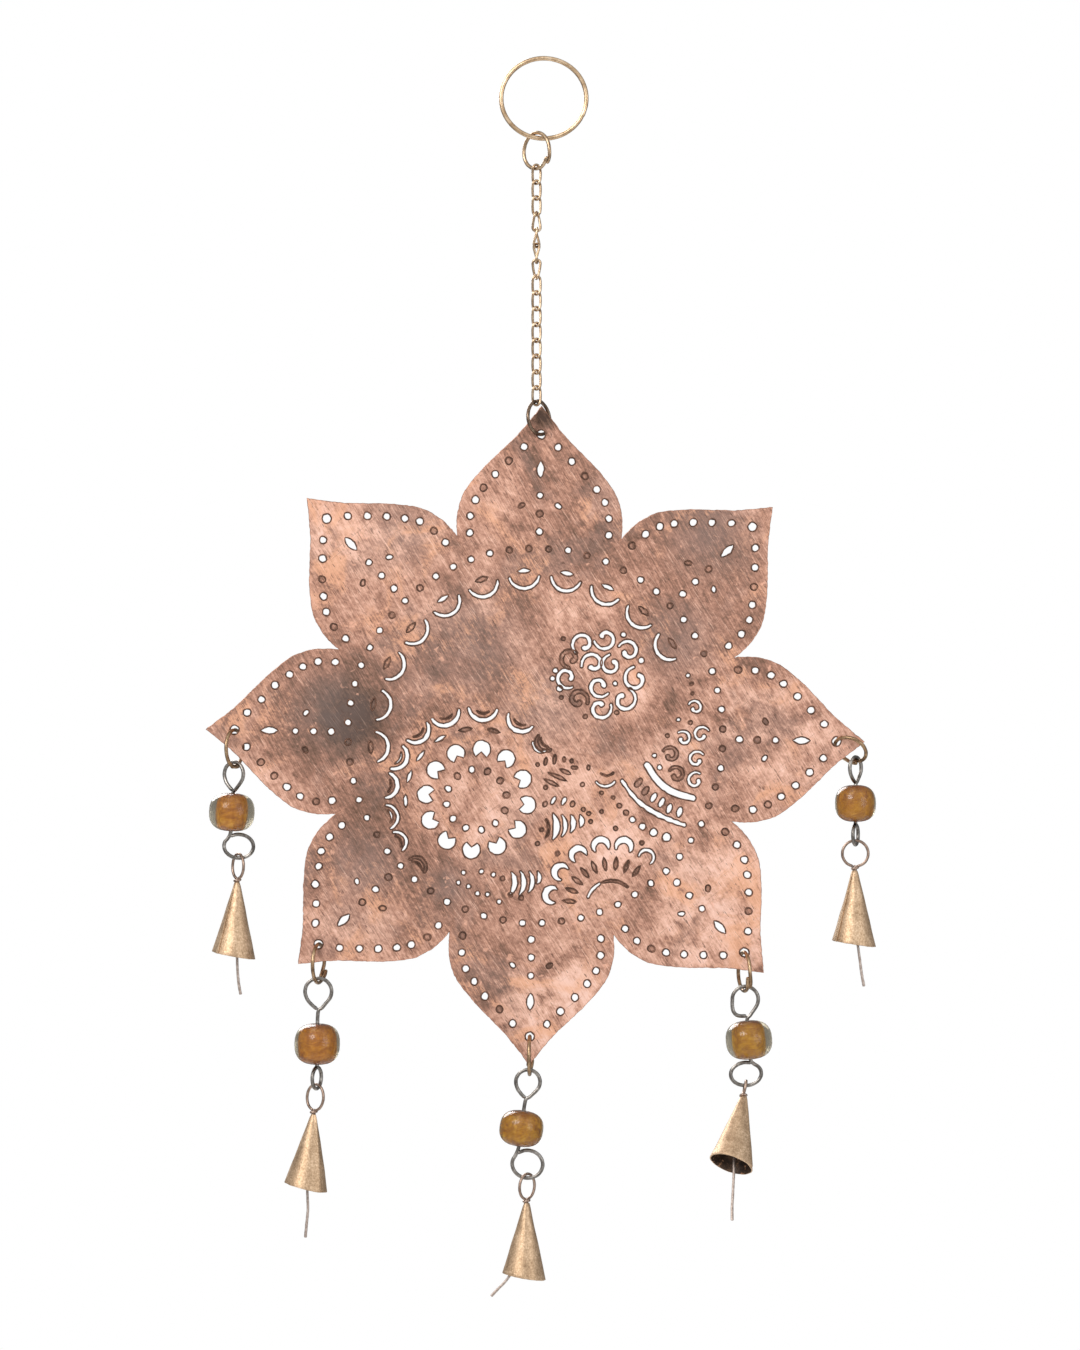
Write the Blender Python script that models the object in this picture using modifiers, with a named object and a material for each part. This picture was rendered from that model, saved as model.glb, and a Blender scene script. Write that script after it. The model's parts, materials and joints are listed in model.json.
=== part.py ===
"""Flower chime: a pierced copper flower that hangs on a ring and a twisted chain, with five bead and bell pendants.

Metres, +Z up. The front faces -Y. The origin is the point inside the top of the hanging ring that rests on a hook.
Each moving piece has its origin on its joint's axis and is parented to the piece that carries it.
"""

import math

import bpy
from mathutils import Matrix, Vector

GAP = 0.0003  # between pieces that touch
WIRE_SIDES = 6
X_AXIS = Vector((1, 0, 0))
UP = Vector((0, 0, 1))

# Hanging ring and the ring under it
HANGING_RING_RADIUS = 0.0139  # to the wire's centre, as for every ring below
HANGING_RING_WIDE = 0.0147  # the ring is a little wider than it is tall
HANGING_WIRE = 0.0008  # wire radius, as for every wire below
HANGING_RING_OFFSET = 0.0015  # the ring leans right of the hook, the chain left
CHAIN_OFFSET = -0.0010
TOP_RING_RADIUS = 0.0062
TOP_RING_WIRE = 0.00065
TOP_RING_YAW = -45

# Chain of twisted oval links
LINK_COUNT = 15
LINK_WIRE = 0.00042
LINK_HALF_LENGTH = 0.00331
LINK_HALF_WIDTH = 0.00138
LINK_TWIST = 40  # degrees that each end is turned from the link's middle
TURN_FIRST = 3  # below this link the chain is twisted by half a turn
TURN_STEPS = 5

# Copper flower
PETALS = 8
PETAL_RADIUS = 0.1140
SHEET = 0.0007
PLATE_LEAN = 1.1  # degrees
TIP_HOLE_AT = 0.1043
TIP_HOLE_RADIUS = 0.0016
HOLE_RADIUS = 0.0012
BORDER_HOLES = 7
BORDER_FIRST = 0.0142  # along the edge from the tip
BORDER_PITCH = 0.0068
BORDER_INSET = 0.0043
AXIS_HOLES = (0.0832, 0.0769, 0.0707)
EYE_SLOT_AT = 0.0922
EYE_SLOT = (0.0013, 0.0031)
CRESCENT_CIRCLE = 0.0541
CRESCENT_FIRST = 34
CRESCENT_STEP = 15
CRESCENTS = 11
CRESCENT_RADIUS = 0.0058
CRESCENT_SLIT = 0.0012
SUN_AT = (-0.0201, -0.0226)
SUN_HOLES = 12
SUN_CIRCLE = 0.0175
SUN_HOLE_RADIUS = 0.0028
SPIRALS_AT = (0.0232, 0.0210)
SPIRAL_RINGS = ((3, 0.0045), (9, 0.0121))
SPIRAL_HOLE_RADIUS = 0.0026
PLATE_RING_RADIUS = 0.0058
PLATE_RING_WIRE = 0.0006
PLATE_RING_YAW = 50
PLATE_RING_LEAN = 8

# Half of a petal's edge, from the notch to the tip, as (half width, distance from the middle) over the radius
NOTCH = 0.578
PETAL_SIDE = (
    (NOTCH * math.tan(math.pi / PETALS), NOTCH),
    (0.2475, 0.604),
    (0.2505, 0.640),
    (0.247, 0.688),
    (0.228, 0.739),
    (0.178, 0.804),
    (0.129, 0.854),
    (0.076, 0.906),
    (0.039, 0.950),
    (0.000, 1.000),
)

# Pendants
HANG_RING_WIRE = 0.00065
PIN_WIRE = 0.00065
BELL_WIRE = 0.0005
CLAPPER_WIRE = 0.00045
BEAD_HOLE = 0.0011
BELL_HEIGHT = 0.0253
BELL_MOUTH = 0.0076
BELL_APEX = 0.00132
BELL_WALL = 0.0005
BELL_NECK = 0.0009  # of the wire between its loop and the bell
EYE_RADIUS = 0.0016
EYE_ABOVE_MOUTH = 0.0068
CLAPPER_LOOP = 0.0015
# How a pin's upper loop starts beside the stem, as (across, up) from its middle over its radius, and where it turns round
UPPER_ENDS = dict(
    drop=(((-0.28, -1.22), (-0.62, -0.86)), 205),
    bent=(((-0.20, -1.24), (-0.64, -1.20), (-0.97, -0.90), (-1.03, -0.48)), 184),
)

# One row for each pendant: angles in degrees about Z (yaw) or in the front view (lean, plus is to the right)
PENDANTS = (
    dict(name="west", petal=180, ring=0.0064, ring_yaw=67, pin_lean=-3, upper=0.0042, upper_yaw=-35,
         upper_end="drop", drop=0.0174, bead=0.0079, bead_half=0.0066, lower=0.0041, lower_wide=0.0051,
         lower_yaw=0, shift=0.0030, bell_loop=(0.0040, 0.0043), bell_yaw=-58, bell_drop=0.0098, bell_lean=-3,
         bell_pitch=0, clapper_lean=9, clapper_out=0.0135),
    dict(name="southwest", petal=225, ring=0.0067, ring_yaw=75, pin_lean=-1, upper=0.0046, upper_yaw=0,
         upper_end="drop", drop=0.0228, bead=0.0079, bead_half=0.0071, lower=0.0037, lower_wide=0.0040,
         lower_yaw=70, shift=0.0, bell_loop=(0.0041, 0.0045), bell_yaw=-44, bell_drop=0.0104, bell_lean=-6,
         bell_pitch=0, clapper_lean=4, clapper_out=0.0173),
    dict(name="south", petal=270, ring=0.0066, ring_yaw=88, pin_lean=-8, upper=0.0042, upper_yaw=0,
         upper_end="drop", drop=0.0205, bead=0.0076, bead_half=0.0062, lower=0.0048, lower_wide=0.0053,
         lower_yaw=0, shift=0.0038, bell_loop=(0.0040, 0.0044), bell_yaw=50, bell_drop=0.0101, bell_lean=-2,
         bell_pitch=0, clapper_lean=-38, clapper_out=0.0092),
    dict(name="southeast", petal=315, ring=0.0067, ring_yaw=-75, pin_lean=5, upper=0.0045, upper_yaw=0,
         upper_end="bent", drop=0.0186, bead=0.0081, bead_half=0.0067, lower=0.0040, lower_wide=0.0053,
         lower_yaw=0, shift=-0.0020, bell_loop=(0.0022, 0.0024), bell_yaw=90, bell_drop=0.0058, bell_lean=-12,
         bell_pitch=-27, clapper_lean=8, clapper_out=0.0201),
    dict(name="east", petal=0, ring=0.0057, ring_dip=30, ring_tilt=50, pin_lean=0, upper=0.0038, upper_yaw=55,
         upper_end="drop", drop=0.0161, bead=0.0071, bead_half=0.0064, lower=0.0035, lower_wide=0.0037,
         lower_yaw=72, shift=0.0, bell_loop=(0.0045, 0.0045), bell_yaw=0, bell_drop=0.0104, bell_lean=-1,
         bell_pitch=0, clapper_lean=10, clapper_out=0.0149),
)


def turn(degrees, axis="Z"):
    return Matrix.Rotation(math.radians(degrees), 4, axis)


def shift(offset):
    return Matrix.Translation(Vector(offset))


def sideways(yaw):
    """The level direction that lies in an upright ring's plane."""
    return turn(yaw) @ X_AXIS


def clear_scene():
    for obj in list(bpy.data.objects):
        bpy.data.objects.remove(obj, do_unlink=True)


def make_material(name, colour, roughness, metallic):
    material = bpy.data.materials.new(name)
    material.use_nodes = True
    shader = material.node_tree.nodes["Principled BSDF"]
    shader.inputs["Base Color"].default_value = (*colour, 1)
    shader.inputs["Roughness"].default_value = roughness
    shader.inputs["Metallic"].default_value = metallic
    material.diffuse_color = (*colour, 1)
    return material


class Chime:
    """The collection, its materials and the world matrix of every piece."""

    def __init__(self):
        self.collection = bpy.data.collections.new("flower_chime")
        bpy.context.scene.collection.children.link(self.collection)
        self.world = {}
        self.brass = make_material("polished_brass", (0.80, 0.62, 0.38), 0.25, 1.0)
        self.chain = make_material("antique_brass", (0.62, 0.48, 0.30), 0.35, 1.0)
        self.copper = make_material("patinated_copper", (0.60, 0.32, 0.22), 0.45, 0.9)
        self.steel = make_material("dark_steel", (0.30, 0.29, 0.28), 0.40, 1.0)
        self.glass = make_material("amber_glass", (0.62, 0.36, 0.12), 0.12, 0.0)
        self.bell = make_material("brushed_brass", (0.66, 0.52, 0.30), 0.45, 1.0)
        self.strip = make_material("clapper_steel", (0.48, 0.40, 0.36), 0.50, 1.0)

    def add(self, obj, name, world, material, parent=None):
        """Names and places a piece, and hangs it on the piece that carries it."""
        obj.name = name
        obj.data.name = name
        for owner in list(obj.users_collection):
            owner.objects.unlink(obj)
        self.collection.objects.link(obj)
        obj.data.materials.clear()
        obj.data.materials.append(material)
        obj.matrix_basis = world
        if parent:
            obj.parent = bpy.data.objects[parent]
            obj.matrix_parent_inverse = self.world[parent].inverted()
        self.world[name] = world.copy()
        return obj


def torus(radius, wire, segments, local):
    """A ring that stands in the local XZ plane before local is applied."""
    bpy.ops.mesh.primitive_torus_add(
        major_segments=segments, minor_segments=WIRE_SIDES, major_radius=radius, minor_radius=wire
    )
    obj = bpy.context.object
    obj.data.transform(local @ turn(90, "X"))
    for face in obj.data.polygons:
        face.use_smooth = True
    return obj


def wire_curve(points, radius, closed=False):
    curve = bpy.data.curves.new("wire", "CURVE")
    curve.dimensions = "3D"
    curve.bevel_depth = radius
    curve.bevel_resolution = (WIRE_SIDES - 4) // 2
    curve.use_fill_caps = True
    spline = curve.splines.new("POLY")
    spline.points.add(len(points) - 1)
    for point, place in zip(spline.points, points):
        point.co = (*place, 1)
    spline.use_cyclic_u = closed
    return bpy.data.objects.new("wire", curve)


def arc(centre, size, first, last, steps, yaw):
    """Points of an upright oval with half sizes size in the plane at yaw, from angle first to last, 90 at the top."""
    points = []
    for i in range(steps + 1):
        angle = math.radians(first + (last - first) * i / steps)
        along = size[0] * math.cos(angle)
        points.append(Vector(centre) + sideways(yaw) * along + UP * size[1] * math.sin(angle))
    return points


def lowest_point(centre, radius, plane_x, plane_y):
    """The lowest point of a circle and its level direction there."""
    angle = math.atan2(-plane_y.z, -plane_x.z)
    low = centre + radius * (math.cos(angle) * plane_x + math.sin(angle) * plane_y)
    tangent = -math.sin(angle) * plane_x + math.cos(angle) * plane_y
    return low, tangent.normalized()


def turned(profile, steps):
    """A closed profile in the XZ plane turned about Z."""
    mesh = bpy.data.meshes.new("turned")
    edges = [(i, (i + 1) % len(profile)) for i in range(len(profile))]
    mesh.from_pydata([(x, 0, z) for x, z in profile], edges, [])
    obj = bpy.data.objects.new("turned", mesh)
    screw = obj.modifiers.new("turn", "SCREW")
    screw.steps = steps
    screw.render_steps = steps
    screw.use_merge_vertices = True
    screw.merge_threshold = 0.00001
    screw.use_smooth_shade = True
    return obj


def along_edge(points, distance):
    """The point at this distance along a run of points, and the edge's direction there."""
    for a, b in zip(points, points[1:]):
        step = (b - a).length
        if distance <= step:
            return a.lerp(b, distance / step), (b - a).normalized()
        distance -= step
    return points[-1], (points[-1] - points[-2]).normalized()


def polygon(centre, size, sides, angle=0):
    """A round or oval outline with half sizes size, turned by angle degrees."""
    rotation = Matrix.Rotation(math.radians(angle), 2)
    out = []
    for i in range(sides):
        t = 2 * math.pi * (i + 0.5) / sides
        out.append(Vector(centre) + rotation @ Vector((size[0] * math.cos(t), size[1] * math.sin(t))))
    return out


def crescent(centre, angle):
    """A bent slit that opens outward, away from the flower's middle."""
    rotation = Matrix.Rotation(math.radians(angle), 2)
    steps = 5
    sweep = [math.radians(180 + 68 * (2 * i / steps - 1)) for i in range(steps + 1)]
    outer = [Vector((math.cos(t), math.sin(t))) * CRESCENT_RADIUS for t in sweep]
    inner = [
        Vector((math.cos(t), math.sin(t))) * (CRESCENT_RADIUS - CRESCENT_SLIT * abs(math.sin(math.pi * i / steps)))
        for i, t in enumerate(sweep)
    ]
    return [Vector(centre) + rotation @ p for p in [*outer, *inner[-2:0:-1]]]


def petal_frame(angle):
    """Turns (half width, distance) of a petal at this angle into the sheet's own XY."""
    return Matrix.Rotation(math.radians(angle - 90), 2)


def flower_outline():
    side = [Vector(p) * PETAL_RADIUS for p in PETAL_SIDE]
    outline = []
    for petal in range(PETALS):
        frame = petal_frame(90 - 360 / PETALS * petal)
        left = [frame @ Vector((-p.x, p.y)) for p in side]
        right = [frame @ p for p in reversed(side)]
        outline += left + right[1:-1]
    return outline


def petal_holes(angle):
    """The holes of one petal: the ring's hole, the border, the eye slot and the three on its axis."""
    frame = petal_frame(angle)
    holes = [polygon(frame @ Vector((0, TIP_HOLE_AT)), (TIP_HOLE_RADIUS, TIP_HOLE_RADIUS), 12)]
    holes.append(polygon(frame @ Vector((0, EYE_SLOT_AT)), EYE_SLOT, 8, angle - 90))
    for distance in AXIS_HOLES:
        holes.append(polygon(frame @ Vector((0, distance)), (HOLE_RADIUS, HOLE_RADIUS), 6))
    side = [Vector(p) * PETAL_RADIUS for p in reversed(PETAL_SIDE)]
    for i in range(BORDER_HOLES):
        edge, direction = along_edge(side, BORDER_FIRST + BORDER_PITCH * i)
        place = edge + Vector((direction.y, -direction.x)) * BORDER_INSET
        for mirrored in (-1, 1):
            centre = frame @ Vector((mirrored * place.x, place.y))
            holes.append(polygon(centre, (HOLE_RADIUS, HOLE_RADIUS), 6))
    return holes


def middle_holes():
    """The larger piercings of the flower's middle: the arch of crescents, the sun and the spirals."""
    holes = []
    for i in range(CRESCENTS):
        angle = CRESCENT_FIRST + CRESCENT_STEP * i
        out = Vector((math.cos(math.radians(angle)), math.sin(math.radians(angle))))
        holes.append(crescent(out * (CRESCENT_CIRCLE + CRESCENT_RADIUS / 2), angle))
    for i in range(SUN_HOLES):
        angle = 2 * math.pi * i / SUN_HOLES
        centre = Vector(SUN_AT) + Vector((math.cos(angle), math.sin(angle))) * SUN_CIRCLE
        holes.append(polygon(centre, (SUN_HOLE_RADIUS, SUN_HOLE_RADIUS), 8))
    for count, circle in SPIRAL_RINGS:
        for i in range(count):
            angle = 2 * math.pi * i / count
            centre = Vector(SPIRALS_AT) + Vector((math.cos(angle), math.sin(angle))) * circle
            holes.append(polygon(centre, (SPIRAL_HOLE_RADIUS, SPIRAL_HOLE_RADIUS), 6))
    return holes


def flower_sheet():
    """The pierced sheet in its own XY plane, with its origin at the top petal's hole."""
    curve = bpy.data.curves.new("sheet", "CURVE")
    curve.dimensions = "2D"
    curve.fill_mode = "BOTH"
    curve.extrude = SHEET / 2
    outlines = [flower_outline(), *middle_holes()]
    for petal in range(PETALS):
        outlines += petal_holes(90 - 360 / PETALS * petal)
    for outline in outlines:
        spline = curve.splines.new("POLY")
        spline.points.add(len(outline) - 1)
        for point, place in zip(spline.points, outline):
            point.co = (place.x, place.y - TIP_HOLE_AT, 0, 1)
        spline.use_cyclic_u = True
    return bpy.data.objects.new("sheet", curve)


def link_points():
    """The centre line of a twisted link: straight sides, round ends, and each level turned by its height."""
    straight = LINK_HALF_LENGTH - LINK_HALF_WIDTH
    points = []
    for end in (1, -1):
        for i in range(7):
            angle = math.radians(30 * i + (0 if end > 0 else 180))
            points.append(
                Vector((LINK_HALF_WIDTH * math.cos(angle), 0, end * straight + LINK_HALF_WIDTH * math.sin(angle)))
            )
        points.append(Vector((-end * LINK_HALF_WIDTH, 0, 0)))
    return [turn(LINK_TWIST * p.z / LINK_HALF_LENGTH) @ p for p in points]


def link_yaw(number):
    """The chain is twisted by half a turn over a few links below the first ones."""
    return 180 / TURN_STEPS * min(max(number - TURN_FIRST, 0), TURN_STEPS)


def make_hanging(chime):
    """The hanging ring, the ring under it and the chain. Returns where the next ring's wire centre goes."""
    centre = Vector((HANGING_RING_OFFSET, 0, HANGING_WIRE - HANGING_RING_RADIUS))
    wider = Matrix.Scale(HANGING_RING_WIDE / HANGING_RING_RADIUS, 4, X_AXIS)
    ring = torus(HANGING_RING_RADIUS, HANGING_WIRE, 36, shift(centre) @ wider)
    chime.add(ring, "hanging_ring", Matrix(), chime.brass)

    reach = CHAIN_OFFSET - HANGING_RING_OFFSET
    wire_z = centre.z - HANGING_RING_RADIUS * math.sqrt(1 - (reach / HANGING_RING_WIDE) ** 2)
    pivot = Vector((CHAIN_OFFSET, 0, wire_z))
    lift = HANGING_WIRE + TOP_RING_WIRE + GAP
    local = shift((0, 0, lift - TOP_RING_RADIUS)) @ turn(TOP_RING_YAW)
    ring = torus(TOP_RING_RADIUS, TOP_RING_WIRE, 22, local)
    chime.add(ring, "chain_top_ring", shift(pivot), chime.brass, "hanging_ring")

    below = pivot.z + lift - 2 * TOP_RING_RADIUS  # wire centre of the piece above, at its lowest
    above_wire = TOP_RING_WIRE
    above_yaw = TOP_RING_YAW
    parent = "chain_top_ring"
    link = link_points()
    for number in range(1, LINK_COUNT + 1):
        yaw = link_yaw(number)
        own_top = below + above_wire + LINK_WIRE + GAP
        kind = link_joint(number)
        if kind == "roll":
            world = shift((CHAIN_OFFSET, 0, below)) @ turn(above_yaw)
        else:
            world = shift((CHAIN_OFFSET, 0, own_top)) @ turn(yaw + LINK_TWIST)
        middle = shift((CHAIN_OFFSET, 0, own_top - LINK_HALF_LENGTH)) @ turn(yaw)
        to_local = world.inverted() @ middle
        curve = wire_curve([to_local @ p for p in link], LINK_WIRE, closed=True)
        name = f"chain_link_{number:02d}"
        chime.add(curve, name, world, chime.chain, parent)
        below = own_top - 2 * LINK_HALF_LENGTH
        above_wire = LINK_WIRE
        above_yaw = yaw - LINK_TWIST
        parent = name
    return below, above_yaw, parent


def link_joint(number):
    """Even links twist. Odd ones swing: about the wire above (roll) or about their own (rock)."""
    if number % 2 == 0:
        return "twist"
    return "roll" if number % 4 == 1 else "rock"


def make_plate(chime, link_low, link_low_yaw, link):
    """The ring through the top petal, and the flower. Returns the flower's frame, with its origin in its middle."""
    pivot = Vector((CHAIN_OFFSET, 0, link_low))
    lift = LINK_WIRE + PLATE_RING_WIRE + GAP
    world = shift(pivot) @ turn(link_low_yaw)
    leaning = shift(pivot + UP * lift) @ turn(-PLATE_RING_LEAN, "Y") @ shift((0, 0, -PLATE_RING_RADIUS))
    local = world.inverted() @ leaning @ turn(PLATE_RING_YAW)
    ring = torus(PLATE_RING_RADIUS, PLATE_RING_WIRE, 22, local)
    chime.add(ring, "plate_ring", world, chime.chain, link)

    hole = leaning @ Vector((0, 0, -PLATE_RING_RADIUS))
    world = shift(hole) @ turn(PLATE_LEAN, "Y") @ turn(90, "X")
    sheet = flower_sheet()
    chime.add(sheet, "flower_plate", world, chime.copper, "plate_ring")
    return world @ shift((0, -TIP_HOLE_AT, 0))


def eye_pin_points(p):
    """A wire with an open loop at each end, down from its upper loop's top."""
    upper_centre = Vector((0, 0, -p["upper"]))
    across = sideways(p["upper_yaw"])
    end, first = UPPER_ENDS[p["upper_end"]]
    points = [upper_centre + (across * x + UP * z) * p["upper"] for x, z in end]
    points += arc(upper_centre, (p["upper"], p["upper"]), first, -38, 10, p["upper_yaw"])
    points.append(upper_centre + across * p["upper"] * 0.30 - UP * p["upper"] * 1.22)
    points.append(upper_centre - UP * p["upper"] * 1.62)
    bottom = p["drop"] + p["bead_half"]
    centre = lower_loop_centre(p)
    steep = math.degrees(math.acos(-p["shift"] / p["lower_wide"]))
    side = 1 if p["shift"] >= 0 else -1
    first = steep + side * 12
    points.append(Vector((0, 0, -bottom)))
    points += arc(centre, (p["lower_wide"], p["lower"]), first, first + side * 328, 13, p["lower_yaw"])
    return points


def lower_loop_centre(p):
    down = p["drop"] + p["bead_half"] + GAP + PIN_WIRE + p["lower"]
    return sideways(p["lower_yaw"]) * p["shift"] - UP * down


def bead_profile(p):
    """A barrel with softly flattened ends and a straight hole, from the top down the outside."""
    points = []
    steps = 7
    for i in range(steps + 1):
        t = math.pi * (0.06 + 0.88 * i / steps)
        width = p["bead"] * math.sin(t) ** 0.72
        height = p["bead_half"] * math.copysign(abs(math.cos(t)) ** 0.80, math.cos(t))
        points.append((width, height))
    points.append((BEAD_HOLE, -p["bead_half"]))
    return [(BEAD_HOLE, p["bead_half"]), *points]


def bell_profile():
    """A cone's wall, down the outside and back up the inside, with a hole at its apex."""
    return [
        (BELL_APEX, 0),
        (BELL_MOUTH, -BELL_HEIGHT),
        (BELL_MOUTH - BELL_WALL, -BELL_HEIGHT),
        (BELL_APEX - BELL_WALL, 0),
    ]


def bell_wire_points(p):
    """A loop above the bell, a stem through its apex and an eye inside it."""
    wide, tall = p["bell_loop"]
    centre = Vector((0, 0, -tall))
    first = 270 - math.degrees(math.asin((2 * BELL_WIRE + 2 * GAP) / wide))
    points = arc(centre, (wide, tall), first, -76, 12, p["bell_yaw"])
    points.append(centre - UP * (tall + BELL_NECK))
    eye = Vector((0, 0, eye_low(p) + EYE_RADIUS))
    points.append(eye + UP * EYE_RADIUS * 1.7)
    points += arc(eye, (EYE_RADIUS, EYE_RADIUS), 50, -205, 8, 90)
    return points


def eye_low(p):
    """The height of the eye's lowest wire centre under the bell loop's top."""
    return -p["bell_drop"] - BELL_HEIGHT + EYE_ABOVE_MOUTH


def clapper_points(p):
    """A closed hook over the eye and a slim strip that passes the bell's mouth, with its origin on the eye."""
    lift = BELL_WIRE + CLAPPER_WIRE + GAP
    centre = Vector((0, 0, lift - CLAPPER_LOOP))
    points = arc(centre, (CLAPPER_LOOP, CLAPPER_LOOP), 200, -50, 8, 0)
    points.append(centre - UP * CLAPPER_LOOP * 1.5)
    reach = EYE_ABOVE_MOUTH / math.cos(math.radians(p["clapper_lean"])) + p["clapper_out"]
    points.append(Vector((0.0002, 0, -reach * 0.6)))
    points.append(Vector((0, 0, -reach)))
    return points


def hang_ring_frame(p, hole):
    """The centre of a pendant's ring and the two directions of its plane."""
    if "ring_tilt" in p:
        plane_x = turn(p["ring_dip"], "Y") @ X_AXIS
        upright = turn(p["ring_dip"], "Y") @ UP
        tilt = math.radians(p["ring_tilt"])
        plane_y = upright * math.cos(tilt) + Vector((0, -1, 0)) * math.sin(tilt)
        return hole + plane_x * p["ring"], plane_x, plane_y
    return hole - UP * p["ring"], sideways(p["ring_yaw"]), UP


def make_pendant(chime, flower, p):
    """The ring, pin, bead, bell wire, bell and clapper under one petal."""
    name = p["name"]
    direction = petal_frame(p["petal"]) @ Vector((0, TIP_HOLE_AT))
    hole = flower @ Vector((direction.x, direction.y, 0))
    centre, plane_x, plane_y = hang_ring_frame(p, hole)
    stand = Matrix((plane_x, plane_x.cross(plane_y) * -1, plane_y)).transposed().to_4x4()
    ring = torus(p["ring"], HANG_RING_WIRE, 20, shift(centre - hole) @ stand)
    chime.add(ring, f"{name}_hang_ring", shift(hole), chime.chain, "flower_plate")

    low, _ = lowest_point(centre, p["ring"], plane_x, plane_y)
    top = low + UP * (HANG_RING_WIRE + PIN_WIRE + GAP)
    pin_world = shift(top) @ turn(-p["pin_lean"], "Y")
    pin = wire_curve(eye_pin_points(p), PIN_WIRE)
    chime.add(pin, f"{name}_eye_pin", pin_world, chime.steel, f"{name}_hang_ring")

    bead_world = pin_world @ shift((0, 0, -p["drop"]))
    chime.add(turned(bead_profile(p), 16), f"{name}_bead", bead_world, chime.glass, f"{name}_eye_pin")

    low, _ = lowest_point(
        pin_world @ lower_loop_centre(p),
        p["lower"],
        pin_world.to_3x3() @ sideways(p["lower_yaw"]),
        pin_world.to_3x3() @ UP,
    )
    top = low + UP * (PIN_WIRE + BELL_WIRE + GAP)
    bell_world = shift(top) @ turn(-p["bell_lean"], "Y") @ turn(p["bell_pitch"], "X")
    loop = wire_curve(bell_wire_points(p), BELL_WIRE)
    chime.add(loop, f"{name}_bell_loop", bell_world, chime.chain, f"{name}_eye_pin")
    cone = turned(bell_profile(), 18)
    apex = bell_world @ shift((0, 0, -p["bell_drop"]))
    chime.add(cone, f"{name}_bell", apex, chime.bell, f"{name}_bell_loop")

    hook_world = bell_world @ shift((0, 0, eye_low(p))) @ turn(-p["clapper_lean"], "Y")
    clapper = wire_curve(clapper_points(p), CLAPPER_WIRE)
    chime.add(clapper, f"{name}_clapper", hook_world, chime.strip, f"{name}_bell_loop")


def main():
    clear_scene()
    chime = Chime()
    link_low, link_low_yaw, last_link = make_hanging(chime)
    flower = make_plate(chime, link_low, link_low_yaw, last_link)
    for pendant in PENDANTS:
        make_pendant(chime, flower, pendant)


main()
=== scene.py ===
"""The flower chime in its studio: every CAD node gets a finely made piece and a material of its own."""

import json
import math
from math import cos, pi, radians, sin

import bmesh
import bpy
import numpy as np
from mathutils import Matrix, Vector, noise
from mathutils.geometry import delaunay_2d_cdt


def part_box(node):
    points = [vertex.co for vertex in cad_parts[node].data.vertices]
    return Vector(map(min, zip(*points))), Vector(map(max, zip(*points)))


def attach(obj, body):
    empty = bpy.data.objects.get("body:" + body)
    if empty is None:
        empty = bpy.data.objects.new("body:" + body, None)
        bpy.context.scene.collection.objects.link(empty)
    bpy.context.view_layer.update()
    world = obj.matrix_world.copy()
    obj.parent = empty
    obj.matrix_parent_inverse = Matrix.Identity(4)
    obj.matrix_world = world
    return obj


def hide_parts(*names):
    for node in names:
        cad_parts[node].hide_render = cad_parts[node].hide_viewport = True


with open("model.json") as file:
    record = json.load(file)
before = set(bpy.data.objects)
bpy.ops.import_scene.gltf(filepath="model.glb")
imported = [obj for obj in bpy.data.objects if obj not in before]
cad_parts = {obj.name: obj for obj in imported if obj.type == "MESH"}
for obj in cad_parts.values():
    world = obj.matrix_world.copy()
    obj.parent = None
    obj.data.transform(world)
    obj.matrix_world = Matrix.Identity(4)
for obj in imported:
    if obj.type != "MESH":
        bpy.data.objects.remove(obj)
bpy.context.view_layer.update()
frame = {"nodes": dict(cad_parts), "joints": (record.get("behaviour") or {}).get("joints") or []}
JOINT_AT = {joint["name"]: Vector(joint["pos_m"]) for joint in frame["joints"]}
UP = Vector((0, 0, 1))
MM = 0.001

# Sizes in metres and angles in degrees, most of them as in the CAD. A wire's size is its radius
GAP = 0.0003
HANGING_WIRE = 0.0008
SEAM_AT = -28
RING_WIRE = 0.00065
PLATE_RING_WIRE = 0.00062
LINK_COUNT = 15
LINK_WIRE = 0.00045
LINK_CAD_WIRE = 0.00042
LINK_HALF_WIDTH = 0.00138
LINK_TWIST = 40
TURN_FIRST = 3
TURN_STEPS = 5
PIN_WIRE = 0.00065
BELL_WIRE = 0.0005
CLAPPER_WIRE = 0.00045
CLAPPER_STRIP = (0.43 * MM, 0.26 * MM)
BEAD_HOLE = 0.0011
BELL_HEIGHT = 0.0253
BELL_MOUTH = 0.0076
BELL_APEX = 0.00095
BELL_WALL = 0.00045
MOUTH_CUT = 7.5
BELL_NECK = 0.0009
EYE_RADIUS = 0.0016
EYE_ABOVE_MOUTH = 0.0068
CLAPPER_LOOP = 0.0015
FRAME_HEIGHT = 0.4678
CAMERA_AT = (0.0002, -0.2129)
LENS = 120
SENSOR = 36
FLOOR_AT = -0.78

# The flower, in mm from its middle. PETAL_SIDE is half a petal over PETAL_RADIUS, from the notch to the tip
PETALS = 8
LEAN = 1.1
PETAL_RADIUS = 114.0
SHEET = 0.7
TIP_HOLE_AT = 104.3
NOTCH = 0.578
PETAL_SIDE = (
    (NOTCH * math.tan(math.pi / PETALS), NOTCH), (0.2470, 0.598), (0.2495, 0.615), (0.2505, 0.640),
    (0.2475, 0.680), (0.228, 0.739), (0.178, 0.804), (0.129, 0.854), (0.076, 0.906), (0.039, 0.950),
    (0.000, 1.000),
)
SUN = (-20.4, -22.2)
ROSETTE = (22.9, 21.5)
HALF_SUN = (26.3, -58.9)
FLOWER_AT = JOINT_AT["flower_plate_rock"] - Vector(
    (sin(radians(LEAN)), 0, cos(radians(LEAN)))
) * (TIP_HOLE_AT * MM)

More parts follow.
